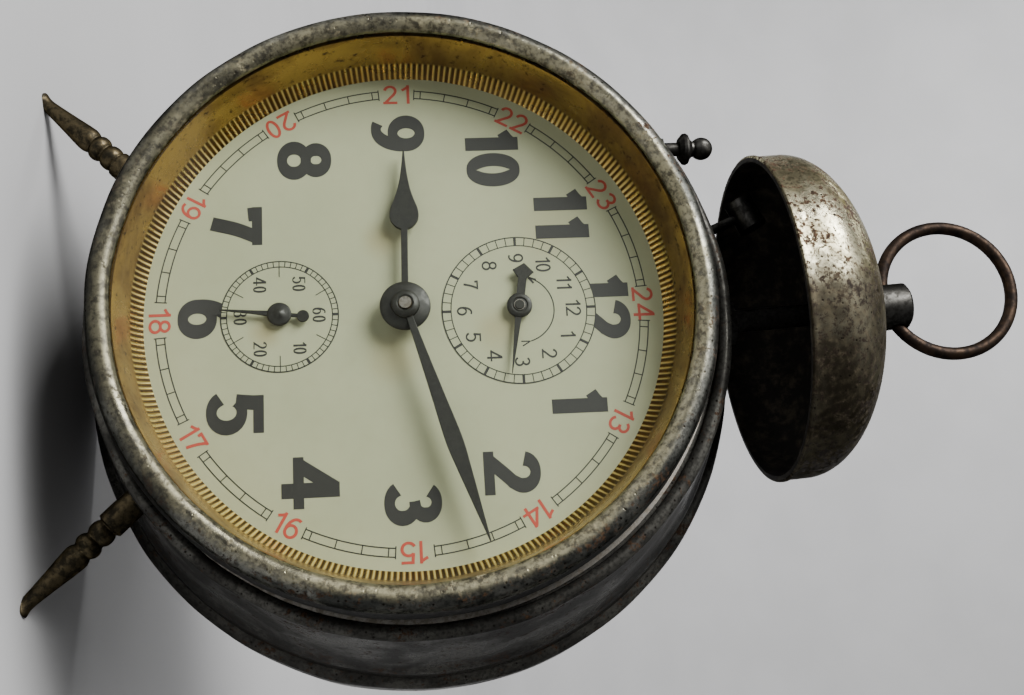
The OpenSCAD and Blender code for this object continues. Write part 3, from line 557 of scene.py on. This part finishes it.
def cut(made, size, at):
    """Cuts a box of a size, centred on a place, out of a piece."""
    x, y, z = (s / 2 for s in size)
    corners = [(sx * x + at[0], sy * y + at[1], sz * z + at[2])
               for sx in (-1, 1) for sy in (-1, 1) for sz in (-1, 1)]
    mesh = bpy.data.meshes.new("cutter")
    mesh.from_pydata([TO_ROW @ Vector(c) for c in corners], [],
                     [(0, 1, 3, 2), (4, 6, 7, 5), (0, 4, 5, 1), (2, 3, 7, 6), (0, 2, 6, 4), (1, 5, 7, 3)])
    tool = bpy.data.objects.new("cutter", mesh)
    bpy.context.scene.collection.objects.link(tool)
    mod = made.modifiers.new("slot", "BOOLEAN")
    mod.operation = "DIFFERENCE"
    mod.solver = "EXACT"
    mod.object = tool
    bpy.context.view_layer.update()
    evaluated = made.evaluated_get(bpy.context.evaluated_depsgraph_get())
    new = bpy.data.meshes.new_from_object(evaluated)
    made.modifiers.remove(mod)
    made.data = new
    bpy.data.objects.remove(tool)


def make_case():
    verts, faces = lathe(case_outline(), 288, dents(0.22, 11.0, 3.0))
    verts = [v + Vector((0, 0, CASE_RISE + CASE_SKEW * v.y)) for v in verts]
    made = piece("case_shell", verts, faces, "case", "worn_nickel", NICKEL)
    cut(made, SLOT_SIZE, SLOT_AT)
    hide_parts("case_drum")


def make_bezel():
    """A lip against the glass, a rolled round, a long flank and a small step behind it."""
    outer = [(45.4, -9.95), (45.4, -10.3)] + smooth([
        (45.45, -10.6), (45.9, -11.15), (46.6, -11.5), (47.4, -11.6), (48.1, -11.35), (48.7, -10.9),
        (49.1, -10.3), (49.35, -9.4), (49.55, -8.2), (49.7, -6.6), (49.8, -5.0)], 4)
    outer += smooth([(49.78, -4.4), (49.6, -3.8), (49.25, -3.4), (49.1, -2.9)], 4)
    outer += [(49.1, 0.2)]
    inner = [(48.4, 0.2), (48.4, -3.6), (49.1, -4.3), (49.05, -8.2), (48.7, -9.3), (48.1, -10.3),
             (47.3, -10.9), (46.7, -10.8), (46.2, -9.95)]
    verts, faces = lathe(split_edges(outer + inner, 1.6), 288, dents(0.16, 9.0, 7.0))
    made = piece("bezel_shell", moved(verts, 0, BEZEL_RISE), faces, "case", "bezel_nickel",
                 BEZEL_NICKEL)
    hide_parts("front_bezel")


REED_DEPTH = 0.34
REED_SIDES = 6


def make_gilt_ring():
    """The reeded band is real geometry. reach is the depth of the reeds at each point of the band,
    as a share of REED_DEPTH."""
    band = [(42.1, -0.02), (42.45, -0.55), (43.1, -1.45), (43.65, -2.2), (43.8, -2.4)]
    front = [(44.0, -3.2), (44.6, -6.0), (45.2, -8.8), (45.3, -9.0)]
    back = [(47.7, -9.0), (47.7, -8.5), (45.8, -8.5), (44.3, -2.4), (42.6, -0.02)]
    reach = [0.0, 0.5, 1.0, 0.8, 0.0]

    def shift(v, i, j):
        if j >= len(reach):
            return v
        wave = 0.5 + 0.5 * math.cos(2 * math.pi * i / REED_SIDES)
        out = Vector((v.x, 0, v.z)).normalized()
        inward = (out * 0.8 + Vector((0, 0.6, 0))) * REED_DEPTH * reach[j] * (1 - wave)
        return v + inward
    verts, faces = lathe(band + front + back, REEDS * REED_SIDES, shift)
    made = piece("gilt_reeded_ring", moved(verts, 0, BEZEL_RISE), faces, "case", "gilt", GILT, 60)
    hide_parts("gilt_ring")


# ---------- Bell ----------

BELL_LEAN = math.radians(3.3)
POST_FOOT = Vector((0, 13, 53))
BELL_FRAME = Matrix.Translation(POST_FOOT) @ Matrix.Rotation(-BELL_LEAN, 4, "Y")
# lathe() turns about Y: this lays that axis along the post
UPRIGHT = Matrix.Rotation(math.radians(90), 4, "X")


def on_post(verts):
    """Points of a lathe whose depth is the height up the leaning post."""
    return [BELL_FRAME @ (UPRIGHT @ Vector(v)) for v in verts]


def dome(radius, skirt, height, steps, start):
    """Outline of a dome from the top of its straight skirt to its crown, above a start height."""
    return [(radius * math.cos(a), start + skirt + (height - skirt) * math.sin(a))
            for a in (math.pi / 2 * i / steps for i in range(steps + 1))]


def make_bell():
    """A dome with a beaded mouth. The faces of its inner side take a darker material."""
    gap, height, radius, wall, skirt, hole = 9.0, 19.4, 28.5, 0.88, 5.0, 1.55
    outer = [(radius - 0.15, gap), (radius + 0.22, gap + 0.25), (radius + 0.25, gap + 0.7),
             (radius, gap + 1.1), (radius, gap + 2.5)]
    outer += dome(radius, skirt, height, 40, gap)[:-1] + [(hole, gap + height)]
    inner = [(hole, gap + height - wall)]
    inner += dome(radius - wall, skirt, height - wall, 30, gap)[:-1][::-1]
    inner += [(radius - wall, gap + 2), (radius - wall, gap)]
    outer = split_edges(outer, 2.0, False)
    inner = split_edges(inner, 2.0, False)
    rows = len(outer) + len(inner)
    verts, faces = lathe(outer + inner, 224, dents(0.14, 12.0, 11.0))
    made = piece("bell_dome", on_post(verts), faces, "case", "worn_nickel", BELL_NICKEL)
    made.data.materials.append(BELL_INSIDE)
    for i, face in enumerate(made.data.polygons):
        face.material_index = int(i % rows >= len(outer) - 1)
    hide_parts("bell")


# ---------- Feet ----------

FOOT_ROOT = 53.3
FOOT_ROOT_ANGLE = math.radians(32.4)
FOOT_SPLAY = math.radians(43)
FOOT_Y = 8.0


def make_foot(side, name, node):
    """A turned foot of (radius, height) points, cut flat where it meets the floor."""
    profile = [(0.0, -3.0), (2.2, -2.9)] + smooth([
        (2.3, 0.0), (2.32, 3.6), (2.2, 4.05), (1.78, 4.35), (1.95, 4.7), (2.12, 5.2), (2.16, 5.75),
        (2.05, 6.4), (1.72, 6.95), (1.74, 7.2), (2.05, 7.65), (2.22, 8.3), (2.15, 8.95),
        (1.85, 9.45), (1.74, 9.7),
        (1.95, 10.1), (2.12, 10.8), (2.1, 11.7), (1.92, 13.4), (1.68, 15.4), (1.44, 17.6), (1.24, 19.6),
        (1.18, 20.8), (1.3, 21.6), (1.48, 22.2), (1.5, 22.5)], 4)
    profile += [(1.2, 22.6), (0.0, 22.62)]
    steps = 48
    verts, faces = [], []
    for (r, s) in profile:
        for i in range(steps):
            a = 2 * math.pi * i / steps
            verts.append(Vector((r * math.cos(a), r * math.sin(a), s)))
    for j in range(len(profile) - 1):
        for i in range(steps):
            k = (i + 1) % steps
            faces.append((j * steps + i, j * steps + k, (j + 1) * steps + k, (j + 1) * steps + i))
    place = Matrix.Translation((side * FOOT_ROOT * math.sin(FOOT_ROOT_ANGLE), FOOT_Y,
                                -FOOT_ROOT * math.cos(FOOT_ROOT_ANGLE)))
    place = place @ Matrix.Rotation(side * (math.pi - FOOT_SPLAY), 4, "Y")
    points = []
    for v in verts:
        row = TO_ROW @ (place @ v)
        row.z = max(row.z, 0.0)
        points.append(TO_CLOCK @ row)
    made = piece(name, points, faces, "case", "dark_brass", DARK_BRASS, 70)
    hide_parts(node)


# ---------- Carrying ring ----------

RING_R = 11.9
WIRE_R = 1.15
WIRE_WEAR = 0.02
# The middle of the ring, from the foot of the bell's post
RING_AT = (-2.2, 0, 44.15)


def make_ring():
    """A ring of round wire, a little uneven with wear."""
    steps, round_steps = 128, 20
    verts, faces = [], []
    for i in range(steps):
        a = 2 * math.pi * i / steps
        along = Vector((math.cos(a), 0, math.sin(a)))
        thick = WIRE_R * (1 - WIRE_WEAR + WIRE_WEAR * noise.noise(along * 2.5))
        for j in range(round_steps):
            b = 2 * math.pi * j / round_steps
            verts.append(along * (RING_R + thick * math.cos(b)) + Vector((0, thick * math.sin(b), 0)))
    for i in range(steps):
        k = (i + 1) % steps
        for j in range(round_steps):
            m = (j + 1) % round_steps
            here, there = i * round_steps, k * round_steps
            faces.append((here + j, here + m, there + m, there + j))
    place = BELL_FRAME @ Matrix.Translation(RING_AT)
    made = piece("carrying_ring_wire", [place @ v for v in verts], faces, "carrying_ring",
                 "ring_patina", RING_PATINA)
    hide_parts("carrying_ring")


# ---------- Hands ----------


def plate(outline, y0, y1, turn, at):
    """A flat shape of points (across, along) turned clockwise from twelve, between two depths."""
    count = len(outline)
    a = math.radians(turn)
    verts = []
    for y in (y0, y1):
        for (u, w) in outline:
            verts.append(Vector((at[0] + u * math.cos(a) + w * math.sin(a), y,
                                 at[1] - u * math.sin(a) + w * math.cos(a))))
    faces = [tuple(range(count)), tuple(reversed(range(count, 2 * count)))]
    faces += [(i, i + count, (i + 1) % count + count, (i + 1) % count) for i in range(count)]
    return verts, faces


def mirrored(half):
    """A closed outline from its right half, given from bottom to top."""
    return half + [(-u, w) for (u, w) in reversed(half) if abs(u) > 1e-6]


def disc(profile, at, steps=64):
    """A turned boss at a place on the dial, from an outline that begins and ends on its axis."""
    verts, faces = lathe(profile, steps, closed=False)
    return moved(verts, at[0], at[1]), faces


def joined(*shapes):
    """One set of points and faces from several."""
    verts, faces = [], []
    for v, f in shapes:
        base = len(verts)
        verts += v
        faces += [tuple(i + base for i in face) for face in f]
    return verts, faces


# Clockwise angles of the hands from twelve, and the arbors they turn on
HOUR_ANGLE = 271.6
MINUTE_ANGLE = 73.4
SECONDS_ANGLE = 186.6
ALARM_ANGLE = 99.4
HAND_HUB = joint_at("hand_setting_turn")
SECONDS_HUB = joint_at("fourth_turn")
ALARM_HUB = joint_at("alarm_setting_turn")


def hand(name, shape, body, node, sharp=40, bevel=0.0):
    """A black hand, or the washer on top, in place of its CAD node."""
    made = piece(name, *shape, body, "black_hands", HAND_BLACK, sharp, bevel)
    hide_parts(node)


def make_hour_hand():
    drop = smooth([(0.55, 13.6), (1.35, 14.0), (2.1, 14.9), (2.4, 16.0), (2.2, 17.4), (1.6, 19.0),
                   (1.05, 20.8), (0.62, 23.0), (0.32, 25.5), (0.12, 27.9)], 5)
    outline = mirrored([(0.58, 0.0), (0.55, 8.0)] + drop)
    hub = disc([(0.0, -2.35), (3.2, -2.35), (3.5, -2.2), (3.5, -1.6), (0.0, -1.6)], HAND_HUB)
    shape = joined(plate(outline, -2.3, -1.6, HOUR_ANGLE, HAND_HUB), hub)
    hand("hour_hand_shape", shape, "hour", "hour_hand", bevel=0.08)


def make_minute_hand():
    blade = smooth([(0.55, 3.0), (0.72, 8.0), (1.05, 16.0), (1.36, 23.4), (1.1, 28.0), (0.62, 34.0),
                    (0.1, 40.3)], 5)
    outline = mirrored([(0.55, 0.0)] + blade)
    shape = plate(outline, -4.0, -3.45, MINUTE_ANGLE, HAND_HUB)
    hand("minute_hand_shape", shape, "hand_setting", "minute_hand", bevel=0.08)


def make_hand_washer():
    verts, faces = lathe([(1.06, -4.34), (1.1, -4.55), (1.4, -4.72), (1.9, -4.6), (2.25, -4.3),
                          (2.3, -3.95), (2.35, -3.75), (2.9, -3.62), (3.7, -3.45), (4.05, -3.2),
                          (4.1, -2.9), (3.9, -2.7), (1.6, -2.7), (1.6, -4.34)], 72)
    hand("hand_washer_disc", (moved(verts, *HAND_HUB), faces), "hand_setting", "hand_washer", 35)


def make_seconds_hand():
    outline = mirrored([(0.3, -3.4), (0.3, -1.0), (0.42, 2.0), (0.3, 4.0), (0.1, 9.5)])
    hub = disc([(0.0, -1.75), (0.4, -1.72), (0.75, -1.5), (1.0, -1.42), (1.75, -1.32), (1.95, -1.15),
                (1.95, -0.9), (0.0, -0.9)], SECONDS_HUB)
    knob_at = on_clock(SECONDS_HUB, -3.8, SECONDS_ANGLE)
    knob = disc([(0.0, -1.22), (0.95, -1.22), (1.0, -1.1), (1.0, -0.85), (0.0, -0.85)], knob_at, 32)
    shape = joined(plate(outline, -1.2, -0.85, SECONDS_ANGLE, SECONDS_HUB), hub, knob)
    hand("seconds_hand_shape", shape, "fourth", "seconds_hand", bevel=0.04)


def make_alarm_hand():
    outline = mirrored([(0.0, -7.4), (1.75, -6.0), (0.7, -4.8), (0.7, -1.5), (0.6, 1.0), (0.06, 11.6)])
    hub = disc([(0.0, -1.75), (0.75, -1.75), (0.85, -1.5), (1.2, -1.45), (1.3, -1.6), (1.7, -1.6),
                (2.05, -1.4), (2.1, -1.0), (0.0, -1.0)], ALARM_HUB, 48)
    shape = joined(plate(outline, -1.3, -0.95, ALARM_ANGLE, ALARM_HUB), hub)
    hand("alarm_hand_shape", shape, "alarm_setting", "alarm_hand", bevel=0.04)


# ---------- Dial print ----------

INK_BACK = 0.02
# How far each stroke of a numeral stands in front of the one before, so that they share no plane
STROKE_STEP = 0.006


def stroke(points, width, y, closed=False):
    """A closed ribbon along (x, z) points. width(direction) gives its width."""
    count = len(points)
    rows = []
    for i in range(count):
        before = Vector(points[i - 1] if closed or i else points[0])
        after = Vector(points[(i + 1) % count] if closed or i < count - 1 else points[-1])
        along = (after - before).normalized()
        w = width(along) / 2
        side = Vector((along.y, -along.x)) * w
        p = Vector(points[i])
        rows.append((p + side, p - side))
    verts, faces = [], []
    for a, b in rows:
        verts += [(a.x, y, a.y), (b.x, y, b.y), (b.x, INK_BACK, b.y), (a.x, INK_BACK, a.y)]
    steps = count if closed else count - 1
    for i in range(steps):
        k = (i + 1) % count
        for j in range(4):
            m = (j + 1) % 4
            faces.append((i * 4 + j, i * 4 + m, k * 4 + m, k * 4 + j))
    if not closed:
        faces += [(3, 2, 1, 0), tuple((count - 1) * 4 + j for j in range(4))]
    return verts, faces


def oval(cx, cz, rx, rz, a0, a1, steps=20):
    """Points along an ellipse, from angle a0 to a1."""
    return [(cx + rx * math.cos(math.radians(a0 + (a1 - a0) * i / steps)),
             cz + rz * math.sin(math.radians(a0 + (a1 - a0) * i / steps))) for i in range(steps + 1)]


# Each numeral's strokes in a unit box, and whether the stroke closes on itself
GLYPHS = {
    "0": [(oval(0.5, 0.5, 0.5, 0.5, 0, 352, 40), True)],
    "1": [([(1.0, 0.0), (1.0, 1.0)], False), ([(0.1, 0.76), (0.55, 0.85), (1.0, 0.97)], False)],
    "2": [(oval(0.5, 0.73, 0.47, 0.27, 172, -25)
           + smooth([(0.86, 0.53), (0.5, 0.3), (0.06, 0.0)], 6)[1:], False),
          ([(0.0, 0.0), (1.0, 0.0)], False)],
    "3": [(oval(0.47, 0.765, 0.42, 0.235, 155, -78) + [(0.42, 0.53)], False),
          ([(0.42, 0.53)] + oval(0.47, 0.275, 0.5, 0.275, 82, -158), False)],
    "4": [([(0.74, 0.0), (0.74, 1.0)], False), ([(0.68, 1.0), (0.02, 0.26)], False),
          ([(0.0, 0.25), (1.04, 0.25)], False)],
    "5": [([(0.18, 1.0), (0.94, 1.0)], False), ([(0.2, 1.0), (0.12, 0.52)], False),
          ([(0.12, 0.54)] + oval(0.48, 0.325, 0.5, 0.325, 128, -155), False)],
    "6": [(oval(0.5, 0.31, 0.48, 0.31, 0, 352, 36), True),
          (oval(0.68, 0.40, 0.66, 0.6, 68, 188, 20), False)],
    "7": [([(0.0, 1.0), (1.0, 1.0)], False), ([(0.0, 0.98), (0.03, 0.8)], False),
          (smooth([(0.96, 1.0), (0.62, 0.55), (0.36, 0.0)], 6), False)],
    "8": [(oval(0.5, 0.765, 0.42, 0.235, 0, 352, 32), True),
          (oval(0.5, 0.27, 0.5, 0.27, 0, 352, 36), True)],
    "9": [(oval(0.5, 0.69, 0.48, 0.31, 0, 352, 36), True),
          (oval(0.32, 0.60, 0.66, 0.6, 248, 368, 20), False)],
}
# Widths as a share of the nominal one
WIDTHS = {"0": 0.88, "1": 0.68, "2": 1.0, "3": 1.02, "4": 1.14, "5": 1.05, "6": 0.98, "7": 0.96, "8": 1.0,
          "9": 0.98}


def write(text, at, height, width, thick, thin, y, gap, turn=0.0):
    """Numerals centred on a point of the dial, turned clockwise. thick and thin are the widths of
    an upright and of a level stroke, and gap is the space between two numerals."""
    widths = [width * WIDTHS[c] for c in text]
    left = -(sum(widths) + gap * (len(text) - 1)) / 2
    a = math.radians(turn)

    def weight(along):
        return thin + (thick - thin) * abs(along.y) ** 1.5

    made = []
    for c, w in zip(text, widths):
        for rank, (points, closed) in enumerate(GLYPHS[c]):
            local = [(left + thick / 2 + u * (w - thick), -height / 2 + thin / 2 + v * (height - thin))
                     for (u, v) in points]
            # An upright stroke reaches the full height, and a level one the full width
            if len(points) == 2 and points[0][0] == points[1][0]:
                local = [(local[0][0], -height / 2), (local[1][0], height / 2)]
            if len(points) == 2 and points[0][1] == points[1][1]:
                local = [(local[0][0] - thick / 2, local[0][1]), (local[1][0] + thick / 2, local[1][1])]
            verts, faces = stroke(local, weight, y - STROKE_STEP * rank, closed)
            turned = [(at[0] + u * math.cos(a) + v * math.sin(a), d,
                       at[1] - u * math.sin(a) + v * math.cos(a)) for (u, d, v) in verts]
            made.append((turned, faces))
        left += w + gap
    return made


def circle_line(centre, radius, width, y, a0=0.0, a1=360.0):
    """A printed circle, or the part of one from clockwise angle a0 to a1."""
    whole = a1 - a0 >= 360
    steps = max(6, int((a1 - a0) / 2))
    count = steps if whole else steps + 1
    points = [on_clock(centre, radius, a0 + (a1 - a0) * i / steps) for i in range(count)]
    return stroke(points, lambda _along: width, y, whole)


def tick(centre, r0, r1, angle, width, y):
    ends = [on_clock(centre, r0, angle), on_clock(centre, r1, angle)]
    return stroke(ends, lambda _along: width, y)


DIAL = (0.0, 0.0)
# Front depths of the dial's print, of the subdials' discs over it, and of the print on those
INK = -0.03
COVER = -0.05
FINE = -0.07
# Radii of the minute track's two circles, and of the ends that close each of its twelve boxes
TRACK_RADII = (38.52, 39.9)
TRACK_ENDS = (38.2, 40.2)
RED_RADIUS = 39.2


def ink(name, shapes, material):
    piece(name, *joined(*shapes), "case", "dial_print", material)


def make_hour_numerals():
    shapes = []
    for hour in range(1, 13):
        radius = {12: 32.4, 6: 31.9, 9: 31.9}.get(hour, 31.6)
        angle = {11: 327.8}.get(hour, hour * 30)
        gap = {11: 0.25, 12: 0.4}.get(hour, 0.5)
        shapes += write(str(hour), on_clock(DIAL, radius, angle), 9.0, 7.0, 2.4, 1.65, INK, gap)
    ink("hour_numerals", shapes, BLACK_INK)


def make_minute_track():
    """Twelve boxes between the red numerals, each with four ticks."""
    shapes = []
    for hour in range(12):
        start = hour * 30 + 4.4
        end = hour * 30 + 25.6
        for r in reversed(TRACK_RADII):
            shapes.append(circle_line(DIAL, r, 0.19, INK, start, end))
        for minute in range(1, 5):
            shapes.append(tick(DIAL, *TRACK_RADII, hour * 30 + minute * 6, 0.18, INK))
        for angle in (start, end):
            shapes.append(tick(DIAL, *TRACK_ENDS, angle, 0.18, INK))
    ink("minute_track", shapes, BLACK_INK)


def make_red_numerals():
    shapes = []
    for hour in range(1, 13):
        outward = hour <= 3 or hour >= 9
        turn = hour * 30 if outward else hour * 30 + 180
        at = on_clock(DIAL, RED_RADIUS, hour * 30)
        shapes += write(str(hour + 12), at, 3.5, 2.4, 0.48, 0.44, INK, 0.45, turn)
    ink("afternoon_numerals", shapes, RED_INK)


def make_subdial(name, centre, outer, inner, ticks, bold_every):
    """A disc that covers the numeral under it. Returns its two circles and their ticks."""
    outline = [(0.0, COVER), (outer, COVER), (outer, INK_BACK), (0.0, INK_BACK)]
    cover, faces = lathe(outline, 96, closed=False)
    piece(name + "_disc", moved(cover, centre[0], centre[1]), faces, "case", "dial_print", CREAM)
    shapes = [circle_line(centre, outer, 0.2, FINE), circle_line(centre, inner, 0.17, FINE)]
    for i in range(ticks):
        bold = i % bold_every == 0
        shapes.append(tick(centre, inner, outer, i * 360 / ticks, 0.45 if bold else 0.15, FINE))
    return shapes


def make_alarm_subdial():
    """Twelve hours, and an arrow that shows which way the alarm hand is set."""
    arrow = 5.75
    centre = (0.3, ALARM_HUB[1])
    shapes = make_subdial("alarm_subdial", centre, 12.6, 11.15, 48, 4)
    for hour in range(1, 13):
        shapes += write(str(hour), on_clock(centre, 8.95, hour * 30), 2.5, 1.6, 0.34, 0.26, FINE, 0.22)
    shapes.append(circle_line(centre, arrow, 0.2, FINE, -70, 74))
    for bend in (-16, 16):
        tip = on_clock(centre, arrow, -71)
        back = on_clock(tip, 1.3, 35 + bend)
        shapes.append(stroke([tip, back], lambda _along: 0.35, FINE))
        feather = on_clock(centre, arrow, 75)
        shapes.append(stroke([feather, on_clock(feather, 1.5, 165 + bend)], lambda _along: 0.22, FINE))
    ink("alarm_subdial_print", shapes, BLACK_INK)


def make_seconds_subdial():
    """Sixty seconds, numbered in tens."""
    centre, inner = SECONDS_HUB, 8.45
    shapes = make_subdial("seconds_subdial", centre, 9.4, inner, 60, 10)
    for i in range(6):
        shapes.append(tick(centre, 6.7, inner, 30 + i * 60, 0.15, FINE))
        number = str(10 * (i or 6))
        shapes += write(number, on_clock(centre, 6.3, i * 60), 2.1, 1.25, 0.34, 0.16, FINE, 0.18)
    ink("seconds_subdial_print", shapes, BLACK_INK)


# ---------- Build ----------

make_case()
make_bezel()
make_gilt_ring()
make_bell()
make_foot(-1, "left_foot_turned", "foot_left")
make_foot(1, "right_foot_turned", "foot_right")
make_ring()
make_hour_hand()
make_minute_hand()
make_hand_washer()
make_seconds_hand()
make_alarm_hand()
make_hour_numerals()
make_minute_track()
make_red_numerals()
make_alarm_subdial()
make_seconds_subdial()

# ---------- Stage and light ----------


def make_stage():
    """A pale floor that curves up into a backdrop, and runs far forward for a camera behind the
    clock. Sizes are in metres."""
    half, front, back_y, radius, top = 9.0, -9.0, 1.6, 0.6, 3.0
    line = [(front, 0.0), (back_y - radius, 0.0)]
    line += [(back_y - radius + radius * math.sin(a), radius - radius * math.cos(a))
             for a in (math.pi / 2 * i / 16 for i in range(1, 17))]
    line.append((back_y, top))
    verts = [(x, y, z) for (y, z) in line for x in (-half, half)]
    faces = [(2 * i, 2 * i + 1, 2 * i + 3, 2 * i + 2) for i in range(len(line) - 1)]
    mesh = bpy.data.meshes.new("stage")
    mesh.from_pydata(verts, [], faces)
    mesh.polygons.foreach_set("use_smooth", [True] * len(mesh.polygons))
    floor = bpy.data.objects.new("stage", mesh)
    bpy.context.scene.collection.objects.link(floor)
    n = Nodes("stage_paper")
    colour = n.mix(n.ramp(n.noise(0.01, 4), 0.3, 0.7), rgb(172, 172, 173), rgb(167, 167, 168))
    mesh.materials.append(n.surface(colour, 0.9, 0.0, n.bump(n.noise(0.6, 3), 0.05, 0.2)))


def area_light(name, at, aim, size, power, colour=(1, 1, 1)):
    data = bpy.data.lights.new(name, "AREA")
    data.shape = "RECTANGLE"
    data.size, data.size_y = size
    data.energy = power
    data.color = colour
    lamp = bpy.data.objects.new(name, data)
    bpy.context.scene.collection.objects.link(lamp)
    lamp.location = at
    lamp.rotation_mode = "QUATERNION"
    lamp.rotation_quaternion = (Vector(aim) - Vector(at)).to_track_quat("-Z", "Y")


def make_lights():
    middle = (0, 0, 0.08)
    area_light("window", (-0.62, -0.68, 0.88), middle, (0.7, 0.7), 36, (1.0, 0.995, 0.98))
    area_light("sky_fill", (-0.1, -0.35, 1.5), middle, (0.9, 0.9), 5)
    area_light("backdrop_light", (-0.8, 0.7, 1.0), (-0.3, 1.6, 0.4), (0.8, 0.5), 18)
    world = bpy.data.worlds.new("world")
    world.use_nodes = True
    world.node_tree.nodes["Background"].inputs["Color"].default_value = (1, 1, 1, 1)
    world.node_tree.nodes["Background"].inputs["Strength"].default_value = 0.18
    bpy.context.scene.world = world


make_stage()
make_lights()
